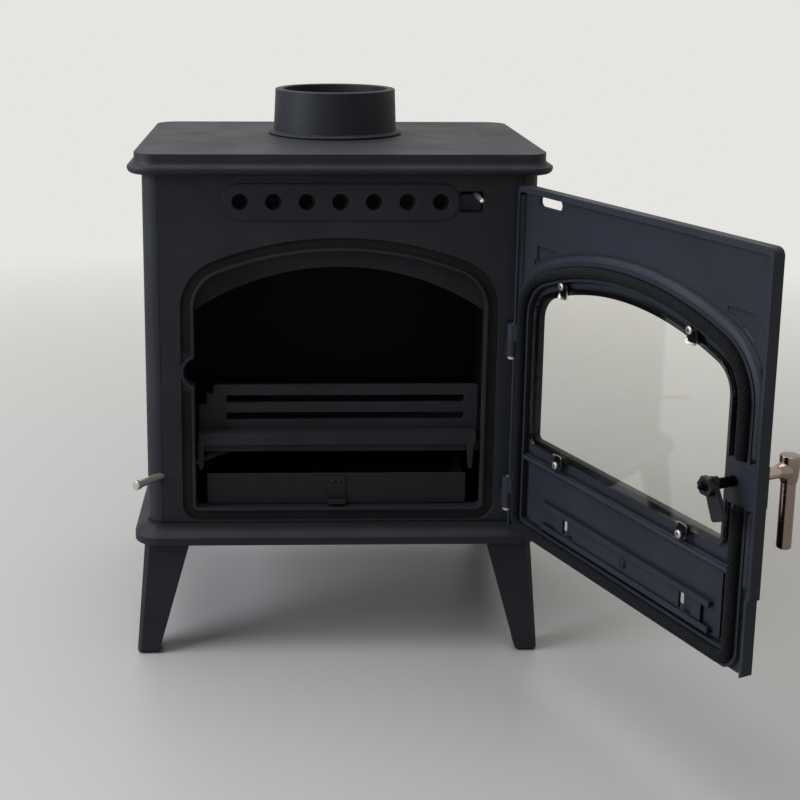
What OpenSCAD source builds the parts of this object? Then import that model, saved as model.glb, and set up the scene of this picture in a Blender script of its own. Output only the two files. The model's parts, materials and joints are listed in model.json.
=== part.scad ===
// Cast-iron cabinet stove on four legs, with an arched glass door that stands open.
// +X is to the right seen from the front, +Y to the back, +Z up from the floor.
// The stove is drawn about the middle of its front plate: x = 0 is the centre line and y = 0 the
// front face. in_frame() then moves it so that the whole part is centred over the origin.

/* [Body] */
// Outside width of the body
body_w = 450; // [440:2:480]
// Depth of the body from the front face to the back face
body_d = 320; // [316:2:380]
// Height of the side, front and back castings
body_h = 415.5; // [400:0.5:440]
// Plan radius of the upright corners of the side castings
body_corner_r = 20; // [16:1:24]
// Wall of the side castings
side_wall = 6; // [5:0.5:8]
// Thickness of the front plate and of the back panel
plate_t = 8; // [7:0.5:9]
// Seam between the front plate and a side casting
seam = 0.4; // [0.2:0.1:1]

/* [Legs and base] */
// Height of the legs below the base plate
leg_h = 138; // [110:2:160]
// Outward splay of a leg from its top to the floor
leg_splay = 11; // [4:1:16]
// Width of a leg at its top
leg_top_w = 56; // [50:1:60]
// Width of a leg at the floor
leg_foot_w = 26; // [22:1:34]
// Wall of a leg
leg_wall = 8; // [6:0.5:10]
// Width of the chamfer down the outer corner of a leg
leg_chamfer = 9; // [4:0.5:12]
// Distance that the base plate stands out past the body
base_overhang = 20; // [19:0.5:24]
// Distance that the base plate stands out past the body at the sides and the back
base_side_overhang = 15; // [13:0.5:18]
// Height of the upright edge of the base plate
base_nose = 9; // [8:0.5:12]
// Height of the sloped top of the base plate
base_crown = 11; // [8:0.5:14]
// Plan radius of the corners of the base plate
base_corner_r = 30; // [24:1:34]

/* [Top] */
// Distance that the bead of the top plate stands out past the body at the front
top_front = 21; // [18:0.5:24]
// Distance that the bead of the top plate stands out past the body at the sides and the back
top_side = 15.7; // [13:0.1:18]
// Radius of the bead round the top plate
top_bead_r = 6.3; // [5:0.1:7]
// Thickness of the top plate over its bead and slab
top_t = 23.5; // [21:0.5:28]
// Step from the bead to the upright edge of the slab
top_step = 8; // [6:0.5:10]
// Radius of the cove between the bead and the slab
top_cove_r = 7; // [5:0.5:7.5]
// Bore of the flue collar
collar_bore = 130; // [110:1:136]
// Outside diameter of the flue collar at its rim
collar_rim_d = 150; // [148:1:156]
// Outside diameter of the flue collar above its flange
collar_foot_d = 154; // [152:1:160]
// Diameter of the flange of the flue collar
collar_flange_d = 167; // [164:1:176]
// Height of the flue collar above the top plate
collar_h = 56; // [40:1:80]
// Distance from the front face to the axis of the flue collar
collar_y = 198; // [180:1:210]

/* [Door arch] */
// Half width of the sealing groove in the front plate
arch_half_w = 182.5; // [180:0.5:184]
// Height of the foot of the sealing groove above the foot of the body
arch_foot = 3; // [3:0.5:6]
// Distance below the top of the body where the sides of the arch end
arch_drop = 156.5; // [153:0.5:160]
// Radius of the shoulders of the arch
arch_shoulder_r = 60; // [54:1:64]
// Radius of the top of the arch
arch_top_r = 400; // [390:5:440]
// Radius of the bottom corners of the sealing groove
arch_corner_r = 20; // [18:1:24]
// Width of the sealing groove
groove_w = 11.5; // [11:0.25:12]
// Depth of the sealing groove
groove_depth = 3; // [2.5:0.5:4]
// Thickness of the rim between the groove and the firebox opening
rim_t = 3.5; // [3:0.5:4]
// Distance that the rim runs back from the front face
rim_depth = 16; // [12:1:16]

/* [Door] */
// Angle that the door stands open from shut
door_open = 114; // [0:1:125]
// Distance of the hinge axis outside the sealing groove
hinge_gap = 16.5; // [14.5:0.5:18.5]
// Distance of the hinge axis in front of the front face
hinge_out = 8; // [7.8:0.1:9]
// Radius of the hinge knuckles
knuckle_r = 7.6; // [7:0.1:7.7]
// Diameter of the hinge pins
hinge_pin_d = 7; // [6:0.5:8]
// Distance of the free edge of the door outside the sealing groove
door_free_gap = 16.5; // [16:0.5:27.5]
// Distance from the hinge axis in to the hinge edge of the door
hinge_edge_in = 5; // [4:0.5:6]
// Distance of the top edge of the door below the top of the body
door_head = 10; // [8:0.5:12]
// Gap between the foot of the body and the bottom edge of the door
door_foot = 0.5; // [0.3:0.1:1]
// Thickness of the door plate
door_plate_t = 4.5; // [4:0.5:5.5]
// Depth of the door casting over its lip
door_depth = 12.5; // [12:0.5:13.5]
// Gap between the lip of the shut door and the front face
door_gap = 4.5; // [4:0.5:5]
// Thickness of the lip round the door and of the ribs of the rope channel
rib_t = 3.5; // [3:0.5:4]
// Radius of the corners of the door
door_corner_r = 8; // [6:1:12]
// Width of the raised band outside the rope channel
moulding_w = 12; // [9:0.5:13]
// Diameter of the sealing rope
rope_d = 12; // [11.5:0.25:12]
// Depth that the rope reaches into the groove of the front plate
rope_bite = 2.4; // [1.5:0.1:2.4]

/* [Glass] */
// Distance of the glass opening inside the outer edge of the sealing groove
glass_inset = 30; // [28:1:36]
// Height of the bottom of the glass opening above the foot of the body
glass_foot = 120; // [116:1:140]
// Radius of the bottom corners of the glass opening
glass_corner_r = 5; // [3:1:10]
// Overlap of the glass on the casting
glass_lap = 6; // [5:0.5:7]
// Thickness of the glass
glass_t = 4; // [3:0.5:5]
// Thickness of the flat tape under the glass
tape_t = 2; // [1:0.5:2.5]

/* [Air controls] */
// Number of air holes above the arch
vent_count = 7; // [5:1:7]
// Diameter of an air hole
vent_d = 18.5; // [14:0.5:20]
// Distance between neighbouring air holes
vent_pitch = 37.8; // [36:0.2:38]
// Distance of the air holes below the top of the body
vent_drop = 32; // [30:0.5:33]
// Height of the raised pad round the air holes
vent_pad_h = 41; // [38:1:42]
// Distance that the pad stands out
vent_pad_t = 2; // [1:0.5:3]
// Thickness of both air slides
slide_t = 3; // [2:0.5:3]
// Shift of the upper air slide from fully open, as it rests
slide_rest = 3; // [0:0.5:18]
// Distance of the lever pin from the centre line, with the slide as it rests
lever_x = 153.5; // [151:0.5:155]
// Diameter of the lever pin
lever_d = 5; // [4:0.5:6]
// Length of the lever pin in front of the front face
lever_out = 45; // [35:1:50]
// Width and height of an air window in the foot of the door
window_size = 18; // [14:1:20]
// Distance of the air windows from the centre of the door
window_x = 96; // [80:1:110]
// Height of the air windows above the foot of the body
window_z = 39; // [36:1:44]
// Shift of the door's air slide from fully open, as it rests
window_rest = 14; // [0:1:18]

/* [Latch] */
// Distance of the latch spindle inside the outer edge of the sealing groove
latch_in = 14.5; // [13.5:0.5:15.5]
// Height of the latch spindle above the foot of the body
latch_z = 184; // [160:1:200]
// Diameter of the latch spindle
spindle_d = 10; // [8:0.5:11]
// Reach of the latch blade from the spindle axis
blade_reach = 33; // [30:1:38]
// Width of the latch blade
blade_w = 16; // [12:1:17]
// Thickness of the latch blade
blade_t = 5; // [4:0.5:5]
// Direction of the latch blade as it rests, measured from the free edge downwards
blade_angle = 66; // [30:1:75]
// Distance of the handle from the outer face of the door
handle_out = 56; // [45:1:70]
// Diameter of the handle
handle_d = 14; // [12:1:18]
// Length of the handle below the spindle
handle_drop = 78; // [60:1:100]
// Length of the handle above the spindle
handle_rise = 14.5; // [14:0.5:30]

/* [Firebox] */
// Thickness of the fire bricks
brick_t = 24; // [20:1:26]
// Height of the fire bricks
brick_h = 240; // [200:5:250]
// Height of the grate's ledge above the foot of the body
ledge_z = 82; // [80:1:84]
// Thickness of the grate
grate_t = 10; // [8:0.5:12]
// Radius of the turning disc of the grate
disc_r = 99.5; // [90:0.5:105]
// Thickness of the baffle board
baffle_t = 10; // [6:1:20]
// Height of the ash pan's front
pan_front_h = 38; // [36:0.5:40]
// Height of the ash pan's sides
pan_side_h = 30; // [24:1:31]
// Width of the ash pan
pan_w = 306; // [290:1:310]
// Length of the ash pan
pan_l = 262; // [240:1:264]
// Sheet thickness of the ash pan
pan_t = 2; // [1.5:0.5:2.5]
// Diameter of the riddling rod
rod_d = 9; // [8:0.5:10]
// Angle of the riddling rod from straight ahead
rod_angle = 40; // [37:1:43]
// Length of the riddling rod outside the body
rod_out = 32; // [26:1:40]

/* [Hidden] */
$fn = 72;

// Overlap of a cut past the face that it goes through
cut = 1;
// Gap left between pieces of one body that rest on each other
seat = 0.3;
// Radial running clearance of a shaft in its hole
run = 0.05;

// Heights of the main levels
nose_z = leg_h + base_nose;
body_z = nose_z + base_crown;
roof_z = body_z + body_h;
slab_z = roof_z + top_t;
half_w = body_w / 2;
inner_x = half_w - side_wall;
front_half_w = half_w - body_corner_r + cut - seam;

// Arch of the door opening: every outline of groove, rim, rope and glass is one shape, inset
arch_foot_z = body_z + arch_foot;
arch_spring_z = roof_z - arch_drop;
arch_shoulder_x = arch_half_w - arch_shoulder_r;
arch_centre_z = arch_spring_z - sqrt(pow(arch_top_r - arch_shoulder_r, 2) - pow(arch_shoulder_x, 2));
arch_apex_z = arch_centre_z + arch_top_r;
rope_inset = groove_w / 2;
opening_inset = groove_w + rim_t;
sill_z = arch_foot_z + opening_inset;
opening_half_w = arch_half_w - opening_inset;
hinge_x = arch_half_w + hinge_gap;
door_free = arch_half_w + door_free_gap;
door_hinge_edge = hinge_x - hinge_edge_in;
latch_x = arch_half_w - latch_in;
notch_r = 17;
notch_out = 12.5;

// Door levels, as distances in front of or behind the hinge axis with the door shut
lip_t = hinge_out - door_gap;
outer_t = lip_t - door_depth;
inner_t = outer_t + door_plate_t;
channel_t = inner_t + 2.7;
rib_top_t = lip_t - 1;
rope_centre_t = hinge_out + rope_bite - rope_d / 2;
tape_top_t = inner_t + tape_t;
glass_top_t = tape_top_t + glass_t;
door_z = body_z + door_foot;
door_top_z = roof_z - door_head;
door_bar_z = body_z + 90;
glass_half_w = arch_half_w - glass_inset;
door_step = 3;
door_step_z = body_z + 79;
channel_gap = 0.3;

// Hinge knuckles: the lower half of each hinge is on the front plate, the upper half on the door
hinge_heights = [22, 206];
knuckle_fixed_h = 19;
knuckle_door_h = 19;
leaf_w = 14;
pin_head = 3;

// Air slides
vent_level = roof_z - vent_drop;
vent_row = (vent_count - 1) * vent_pitch;
slide_half_h = 15.5;
slide_tail_drop = 8;
slide_end = 10;
rail_h = 6;
rail_lap = 3.5;
lever_z = vent_level + 8;
lever_window = [134.5, 161.5];
lever_window_h = 24;
lever_slot = [35, 78];
lever_slot_h = 12;
plateau_t = inner_t + 2;
window_level = body_z + window_z;
door_mid_x = -2;
border_half = 150;
window_rail_half = 138;
window_half_h = 12;
window_stud_d = 6;

// Latch
latch_level = body_z + latch_z;
boss_half_h = notch_r + rim_t + 1.5;
boss_in = 9;
boss_out = 28;
boss_t = 4;
shank_d = 12;
socket_d = handle_d + 6;
blade_face_t = hinge_out + rim_depth + 2;
spindle_end_t = blade_face_t + blade_t + 12;
latch_nut_h = 6;
handle_t = outer_t - handle_out;

// Firebox
ledge_level = body_z + ledge_z;
grate_z = ledge_level + 0.2;
grate_top = grate_z + grate_t;
brick_y = 32;
rear_wall_y = body_d - plate_t - side_wall;
side_brick_l = rear_wall_y - brick_t - 2 * seat - brick_y;
disc_y = 165;
disc_z = grate_z + 0.2;
pan_z = sill_z + 0.5;
pan_y = 12;
pan_x = -1.75;
rod_level = body_z + 58;
rod_exit = [-half_w + 15, 0];
rod_dir = [sin(rod_angle), cos(rod_angle)];
rod_run = (0 - rod_exit[0]) * rod_dir[0] + (disc_y - rod_exit[1]) * rod_dir[1];
crank = [rod_exit[0] + rod_run * rod_dir[0], rod_exit[1] + rod_run * rod_dir[1] - disc_y];
crank_r = norm(crank);
crank_angle = atan2(crank[1], crank[0]);
crank_pin_d = 6;

// Tie rods and leg bolts stand at these distances in from the corner of a leg
tie_d = 8;
nut_across = 13;
nut_h = 6.5;
tie_in = [17, 31];
bolt_in = [43, 30];
leg_corner = [half_w + 2, base_overhang - 13];
leg_corner_back = body_d + 2;
flange_t = 6;
base_t = 8;

iron = [0.16, 0.17, 0.19];
iron_inside = [0.20, 0.21, 0.24];
steel = [0.78, 0.78, 0.76];
brick = [0.62, 0.52, 0.42];

// Middle of the whole part with its door open, which the origin stands under
part_right = hinge_x - (hinge_x + latch_x) * cos(door_open) - handle_t * sin(door_open) + socket_d / 2;
part_left = -half_w - top_side;
part_front = -hinge_out - (hinge_x + door_free) * sin(door_open) + lip_t * cos(door_open);
part_back = body_d + top_side;
frame_x = (part_left + part_right) / 2;
frame_y = (part_front + part_back) / 2;

module in_frame() {
    translate([-frame_x, -frame_y, 0]) children();
}

// Turns what is drawn on the shut door to where the open door holds it
module on_door() {
    in_frame() translate([hinge_x, -hinge_out, 0]) rotate([0, 0, door_open])
        translate([-hinge_x, hinge_out, 0]) children();
}

// Extrudes a shape drawn in x and z along y, from y0 to y1
module slab(y0, y1) {
    translate([0, y1, 0]) rotate([90, 0, 0]) linear_extrude(height = y1 - y0) children();
}

// The same on the shut door, from t0 to t1 behind the hinge axis
module door_slab(t0, t1) {
    slab(t0 - hinge_out, t1 - hinge_out) children();
}

// Rectangle with round corners, by its edges
module round_rect(x0, x1, y0, y1, r) {
    translate([x0 + r, y0]) square([x1 - x0 - 2 * r, y1 - y0]);
    translate([x0, y0 + r]) square([x1 - x0, y1 - y0 - 2 * r]);
    for (x = [x0 + r, x1 - r], y = [y0 + r, y1 - r]) translate([x, y]) circle(r);
}

// Basket-handle arch, inset by d, that stands on foot_z with bottom corners of radius corner_r
module arch(d, foot_z, corner_r) {
    w = arch_half_w - d;
    reach = 2 * arch_top_r;
    rise = arch_spring_z - arch_centre_z;
    translate([-w, foot_z + corner_r]) square([2 * w, arch_spring_z - foot_z - corner_r]);
    translate([-w + corner_r, foot_z]) square([2 * (w - corner_r), corner_r + cut]);
    for (side = [-1, 1]) {
        translate([side * (w - corner_r), foot_z + corner_r]) circle(corner_r);
        translate([side * arch_shoulder_x, arch_spring_z]) circle(arch_shoulder_r - d);
    }
    intersection() {
        translate([0, arch_centre_z]) circle(arch_top_r - d);
        polygon([[-arch_shoulder_x, arch_spring_z], [arch_shoulder_x, arch_spring_z],
            [arch_shoulder_x * reach / rise, arch_centre_z + reach],
            [-arch_shoulder_x * reach / rise, arch_centre_z + reach]]);
    }
}

// Outline of the sealing groove, inset by d
module groove_arch(d) {
    arch(d, arch_foot_z + d, max(arch_corner_r - d, 1));
}

// Outline of the glass opening, made larger by d
module glass_arch(d) {
    arch(glass_inset - d, body_z + glass_foot - d, glass_corner_r + max(d, 0));
}

// Hexagonal prism, by the distance across its flats
module hexagon(across, height) {
    cylinder(h = height, d = across / cos(30), $fn = 6);
}

// ---------------------------------------------------------------- base and legs

// Outline of the base plate, drawn in by d
module base_outline(d) {
    round_rect(-half_w - base_side_overhang + d, half_w + base_side_overhang - d, -base_overhang + d,
        body_d + base_side_overhang - d, base_corner_r - d);
}

// Stands what is drawn for one corner at the two front or all four corners
module at_corner(side, back) {
    if (back) translate([side * leg_corner[0], leg_corner_back, 0]) mirror([side > 0 ? 1 : 0, 0, 0])
        mirror([0, 1, 0]) children();
    else translate([side * leg_corner[0], -leg_corner[1], 0]) mirror([side > 0 ? 1 : 0, 0, 0])
        children();
}

module at_corners() {
    for (side = [-1, 1], back = [false, true]) at_corner(side, back) children();
}

module base_plate() {
    skirt = 8;
    rib_x = pan_w / 2 - 12;
    in_frame() color(iron) difference() {
        union() {
            translate([0, 0, leg_h]) linear_extrude(height = base_nose) base_outline(0);
            hull() {
                translate([0, 0, nose_z]) linear_extrude(height = 0.01) base_outline(0, $fn = 32);
                translate([0, 0, nose_z + 0.45 * base_crown]) linear_extrude(height = 0.01)
                    base_outline(0.3 * base_side_overhang, $fn = 32);
                translate([0, 0, body_z - 0.01]) linear_extrude(height = 0.01)
                    base_outline(base_side_overhang - 1, $fn = 32);
            }
            for (x = [-rib_x, rib_x]) translate([pan_x + x - 3, 20, body_z - cut])
                cube([6, pan_l, pan_z - seat - body_z + cut]);
        }
        translate([0, 0, leg_h - cut]) linear_extrude(height = body_z - base_t - leg_h + cut)
            base_outline(skirt);
        at_corners() {
            translate([tie_in[0], tie_in[1], leg_h]) cylinder(h = 40, d = tie_d + 1);
            translate([bolt_in[0], bolt_in[1], leg_h]) cylinder(h = 40, d = tie_d + 1);
        }
    }
}

// Outline of one face of a leg, in distance from the outer corner and height
module leg_face() {
    toe = 4;
    top = body_z - base_t;
    polygon([[0, top], [-leg_splay, toe], [-leg_splay + toe, 0], [leg_foot_w - leg_splay - toe, 0],
        [leg_foot_w - leg_splay, toe], [leg_top_w, top]]);
}

// L-shaped tapered leg whose outer corner stands on the origin, open towards the stove
module leg_casting() {
    top = body_z - base_t;
    flange_z = top - flange_t;
    reach = leg_top_w + leg_splay;
    difference() {
        union() {
            intersection() {
                translate([0, reach, 0]) rotate([90, 0, 0]) linear_extrude(height = 2 * reach) leg_face();
                rotate([90, 0, 90]) translate([0, 0, -reach]) linear_extrude(height = 2 * reach) leg_face();
                // The chamfer narrows from the top of the outer corner to the floor
                rotate([90, 0, 45]) translate([0, 0, -2 * reach]) linear_extrude(height = 4 * reach)
                    polygon([[leg_chamfer / 2, top], [-leg_splay * sqrt(2) + leg_chamfer / 4, 0],
                        [4 * reach, 0], [4 * reach, top]]);
            }
            translate([leg_wall - cut, leg_wall - cut, flange_z]) cube([leg_top_w - leg_wall,
                leg_top_w - leg_wall, flange_t]);
        }
        intersection() {
            translate([0, 4 * reach, 0]) rotate([90, 0, 0]) linear_extrude(height = 4 * reach)
                polygon([[leg_wall, flange_z], [leg_wall - leg_splay, leg_wall],
                    [reach + cut, leg_wall], [reach + cut, flange_z]]);
            rotate([90, 0, 90]) linear_extrude(height = 4 * reach)
                polygon([[leg_wall, flange_z], [leg_wall - leg_splay, leg_wall],
                    [reach + cut, leg_wall], [reach + cut, flange_z]]);
        }
        translate([tie_in[0], tie_in[1], flange_z - cut]) cylinder(h = flange_t + 2 * cut, d = tie_d + 1);
        translate([bolt_in[0], bolt_in[1], flange_z - cut]) cylinder(h = flange_t + 2 * cut, d = tie_d + 1);
    }
}

module leg_front_left() {
    in_frame() color(iron) at_corner(-1, false) leg_casting();
}

module leg_front_right() {
    in_frame() color(iron) at_corner(1, false) leg_casting();
}

module leg_rear_left() {
    in_frame() color(iron) at_corner(-1, true) leg_casting();
}

module leg_rear_right() {
    in_frame() color(iron) at_corner(1, true) leg_casting();
}

// One bolt with a hexagonal head under each leg's flange and a nut on the base plate
module leg_bolts() {
    head_h = 5.5;
    under = body_z - base_t - flange_t;
    in_frame() color(steel) at_corners() translate([bolt_in[0], bolt_in[1], 0]) {
        translate([0, 0, under - head_h]) hexagon(nut_across, head_h);
        translate([0, 0, under - cut]) cylinder(h = body_z + nut_h + 2 + cut - under, d = tie_d);
        translate([0, 0, body_z]) hexagon(nut_across, nut_h);
    }
}

// Rods that clamp the top plate down on the castings and the base plate
module tie_rods() {
    under = body_z - base_t - flange_t;
    past = 9;
    in_frame() color(steel) at_corners() translate([tie_in[0], tie_in[1], under - past])
        cylinder(h = roof_z + 2 * past - under, d = tie_d);
}

module tie_nuts() {
    under = body_z - base_t - flange_t;
    in_frame() color(steel) at_corners() translate([tie_in[0], tie_in[1], under - nut_h])
        difference() {
            hexagon(nut_across, nut_h);
            translate([0, 0, -cut]) cylinder(h = nut_h + 2 * cut, d = tie_d);
        }
}

// ---------------------------------------------------------------- body castings

// Path that the riddling rod takes through the left front corner
module rod_path(d) {
    translate([rod_exit[0], rod_exit[1], rod_level]) rotate([0, 90, 90 - rod_angle])
        translate([0, 0, -60]) cylinder(h = 120, d = d);
}

// Plan of one side casting: rounded corners, and tongues behind the front plate and back panel
module side_plan() {
    tongue = 14;
    edge = front_half_w + seam;
    difference() {
        round_rect(0, half_w, 0, body_d, body_corner_r);
        round_rect(-body_corner_r, inner_x, side_wall, body_d - side_wall, body_corner_r - side_wall);
        translate([-cut, -cut]) square([edge + cut, body_d + 2 * cut]);
    }
    translate([edge - tongue, plate_t]) square([inner_x + cut - edge + tongue, side_wall]);
    translate([edge - tongue, body_d - plate_t - side_wall]) square([inner_x + cut - edge + tongue, side_wall]);
}

module side_casting() {
    panel = 42;
    panel_depth = 2;
    ledge_in = 36;
    difference() {
        union() {
            translate([0, 0, body_z]) linear_extrude(height = body_h) side_plan();
            translate([inner_x - ledge_in, brick_y, ledge_level - 10])
                cube([ledge_in + cut, side_brick_l, 10]);
        }
        // Sunk panel in the outer face
        translate([half_w - panel_depth, 0, 0]) rotate([90, 0, 90]) linear_extrude(height = panel_depth + cut)
            round_rect(panel, body_d - panel, body_z + panel, roof_z - panel, 24);
    }
    // Raised bead inside the sunk panel
    translate([half_w - panel_depth - 0.5, 0, 0]) rotate([90, 0, 90]) linear_extrude(height = panel_depth + 0.5)
        difference() {
            round_rect(panel + 14, body_d - panel - 14, body_z + panel + 14, roof_z - panel - 14, 14);
            round_rect(panel + 20, body_d - panel - 20, body_z + panel + 20, roof_z - panel - 20, 8);
        }
}

module left_side() {
    in_frame() color(iron) difference() {
        mirror([1, 0, 0]) side_casting();
        rod_path(rod_d + 1);
    }
}

module right_side() {
    in_frame() color(iron) side_casting();
}

module back_panel() {
    rib = 5;
    in_frame() color(iron) {
        slab(body_d - plate_t, body_d) translate([-front_half_w, body_z])
            square([2 * front_half_w, body_h]);
        for (x = [-110, 0, 110]) slab(body_d - plate_t - rib, body_d - plate_t + cut)
            translate([x - 4, grate_top + brick_h + 20]) square([8, roof_z - grate_top - brick_h - 34]);
    }
}

// Round notch in the rim, made larger by grow, that lets the hub of the latch blade through
module latch_notch(grow) {
    translate([notch_r - notch_out - opening_half_w, latch_level]) circle(notch_r + grow);
}

// Knuckle on a leaf that stands on the edge of the front plate
module fixed_knuckle(height) {
    leaf_x = min(hinge_x - knuckle_r, front_half_w - leaf_w);
    translate([hinge_x, -hinge_out, body_z + height]) difference() {
        union() {
            cylinder(h = knuckle_fixed_h, r = knuckle_r);
            translate([leaf_x - hinge_x, 0, 0]) {
                cube([hinge_x - leaf_x, hinge_out, knuckle_fixed_h]);
                cube([front_half_w - leaf_x, hinge_out + cut, knuckle_fixed_h]);
            }
        }
        translate([0, 0, -cut]) cylinder(h = knuckle_fixed_h + 2 * cut, d = hinge_pin_d);
    }
}

module vent_shape(margin) {
    half = vent_row / 2 + vent_pad_h / 2 + margin;
    r = vent_pad_h / 2 + margin;
    translate([-half + r, vent_level - r]) square([2 * (half - r), 2 * r]);
    for (side = [-1, 1]) translate([side * (half - r), vent_level]) circle(r);
}

module front_plate() {
    in_frame() color(iron) difference() {
        union() {
            slab(0, plate_t) translate([-front_half_w, body_z]) square([2 * front_half_w, body_h]);
            slab(-vent_pad_t, cut) vent_shape(0);
            slab(0, rim_depth) {
                groove_arch(groove_w);
                latch_notch(rim_t);
            }
            for (height = hinge_heights) fixed_knuckle(height);
        }
        // Groove that the rope seals in
        slab(-cut, groove_depth) difference() {
            groove_arch(0);
            groove_arch(groove_w);
            latch_notch(rim_t);
        }
        // Firebox opening
        slab(-cut, rim_depth + cut) {
            groove_arch(opening_inset);
            latch_notch(0);
        }
        // Air holes, and the window that the lever pin moves in
        for (i = [0 : vent_count - 1]) slab(-vent_pad_t - cut, plate_t + cut)
            translate([i * vent_pitch - vent_row / 2, vent_level]) circle(d = vent_d);
        slab(-vent_pad_t - cut, plate_t + cut) round_rect(lever_window[0], lever_window[1],
            lever_z - lever_window_h + 4, lever_z + 4, 3);
        rod_path(rod_d + 1);
    }
}

// ---------------------------------------------------------------- top

// Edge of the top plate: slab, cove and bead, with the outermost point of the bead at x = 0
module top_edge() {
    inner = 40;
    bead_z = roof_z + top_bead_r;
    cove_z = bead_z + top_cove_r + 2;
    difference() {
        union() {
            translate([-inner, roof_z]) square([inner - top_step, top_t]);
            translate([-inner, roof_z]) square([inner - top_bead_r, 2 * top_bead_r]);
            translate([-top_bead_r, bead_z]) circle(top_bead_r);
            translate([-inner, bead_z]) square([inner - 1.5, cove_z - bead_z]);
        }
        translate([-top_step + top_cove_r, cove_z]) circle(top_cove_r);
    }
}

module top_plate() {
    left = half_w + top_side;
    front = top_front;
    back = body_d + top_side;
    corner = 34;
    spread = 2 * left - 2 * corner;
    depth = front + back - 2 * corner;
    hollow_r = 6;
    in_frame() color(iron) difference() {
        union() {
            translate([-left + corner - cut, -front + corner - cut, roof_z])
                cube([spread + 2 * cut, depth + 2 * cut, top_t]);
            for (x = [-1, 1], y = [0, 1])
                translate([x * (left - corner), y ? back - corner : -front + corner, 0])
                    rotate([0, 0, y ? (x > 0 ? 0 : 90) : (x > 0 ? 270 : 180)])
                    rotate_extrude(angle = 90) intersection() {
                        translate([corner, 0]) top_edge();
                        translate([0, roof_z - cut]) square([corner + cut, top_t + 2 * cut]);
                    }
            for (x = [-1, 1]) translate([x * left, 0, 0]) mirror([x > 0 ? 0 : 1, 0, 0])
                translate([0, back - corner, 0]) rotate([90, 0, 0]) linear_extrude(height = depth) top_edge();
            for (y = [0, 1]) translate([0, y ? back : -front, 0]) mirror([0, y ? 0 : 1, 0])
                translate([-spread / 2, 0, 0]) rotate([90, 0, 90]) linear_extrude(height = spread) top_edge();
        }
        // Hollow under the slab, inside the castings
        translate([0, 0, roof_z - cut]) linear_extrude(height = top_t - 8 + cut)
            round_rect(-inner_x + 22, inner_x - 22, plate_t + 34, body_d - plate_t - 34, hollow_r);
        translate([0, collar_y, roof_z - cut]) cylinder(h = top_t + 2 * cut, d = collar_bore + 17);
        at_corners() translate([tie_in[0], tie_in[1], roof_z - cut]) cylinder(h = 11 + cut, d = tie_d);
    }
}

module flue_collar() {
    flange_h = 4;
    spigot = 9;
    bore_r = collar_bore / 2;
    in_frame() color(iron) translate([0, collar_y, slab_z]) rotate_extrude() {
        polygon([[bore_r, -spigot], [bore_r + 8, -spigot], [bore_r + 8, 0], [collar_flange_d / 2 - 1, 0],
            [collar_flange_d / 2, 1], [collar_flange_d / 2, flange_h - 1.5],
            [collar_flange_d / 2 - 1.5, flange_h], [collar_foot_d / 2, flange_h],
            [collar_rim_d / 2, collar_h - 6], [collar_rim_d / 2, collar_h - 1], [collar_rim_d / 2 - 1, collar_h],
            [bore_r, collar_h]]);
    }
}

// ---------------------------------------------------------------- upper air slide

module air_slide() {
    left = -vent_row / 2 - vent_d / 2 - slide_end - slide_rest;
    right = lever_x + 7;
    step_x = vent_row / 2 + vent_d / 2 + 3;
    in_frame() color(iron_inside) slab(plate_t + seat, plate_t + seat + slide_t) difference() {
        union() {
            translate([left, vent_level - slide_half_h]) square([step_x - left, 2 * slide_half_h]);
            translate([left, vent_level - slide_half_h])
                square([right - left, 2 * slide_half_h - slide_tail_drop]);
            translate([lever_x, lever_z]) circle(d = lever_d + 4);
        }
        for (i = [0 : vent_count - 1]) translate([i * vent_pitch - vent_row / 2 - slide_rest, vent_level])
            circle(d = vent_d);
        translate([lever_x, lever_z]) circle(d = lever_d);
    }
}

// Rails of L section that hold the slide against the back of the front plate
module slide_rails() {
    back = plate_t + 2 * seat + slide_t;
    low = vent_level - slide_half_h - seat;
    high = vent_level + slide_half_h + seat;
    left = -vent_row / 2 - 38;
    right = lever_window[0] + 36;
    in_frame() color(iron_inside) {
        translate([left, 0, 0]) rotate([90, 0, 90]) linear_extrude(height = right - left)
            polygon([[plate_t, low - rail_h], [back + 3, low - rail_h], [back + 3, low + rail_lap],
                [back, low + rail_lap], [back, low], [plate_t, low]]);
        translate([left, 0, 0]) rotate([90, 0, 90]) linear_extrude(height = right - left)
            polygon([[plate_t, high], [back, high], [back, high - rail_lap], [back + 3, high - rail_lap],
                [back + 3, high + rail_h], [plate_t, high + rail_h]]);
    }
}

module lever_pin() {
    head = 4;
    in_frame() color(steel) translate([lever_x, 0, lever_z]) rotate([90, 0, 0]) rotate_extrude()
        polygon([[0, -plate_t - seat - slide_t - 1], [lever_d / 2, -plate_t - seat - slide_t - 1],
            [lever_d / 2, lever_out - head], [lever_d / 2 - 0.4, lever_out - 1],
            [lever_d / 2 - 1.4, lever_out], [0, lever_out]]);
}

// Plate hung behind the front plate that turns the air from the holes down over the glass
module airwash_deflector() {
    // Its ends stand near the middle between the rim of the arch and the tie rods
    rim_edge = arch_half_w - groove_w;
    rod_edge = leg_corner[0] - tie_in[0] - tie_d / 2;
    inward = 2.5;
    half = (rim_edge + rod_edge) / 2 - inward;
    wall = 3;
    face_y = 22;
    foot_z = arch_spring_z - 23;
    top = roof_z - 5;
    low_r = 300;
    low_apex = arch_apex_z - 38;
    in_frame() color(iron_inside) {
        slab(face_y, face_y + wall) difference() {
            translate([-half, foot_z]) square([2 * half, top - foot_z]);
            translate([0, low_apex - low_r]) circle(low_r, $fn = 144);
        }
        for (side = [-1, 1]) translate([side * (half - wall / 2) - wall / 2, plate_t + seat, foot_z])
            cube([wall, face_y + wall - plate_t - seat, top - foot_z]);
        translate([-half, plate_t + seat, top - wall]) cube([2 * half, face_y + wall - plate_t - seat, wall]);
    }
}

// ---------------------------------------------------------------- firebox

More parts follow.
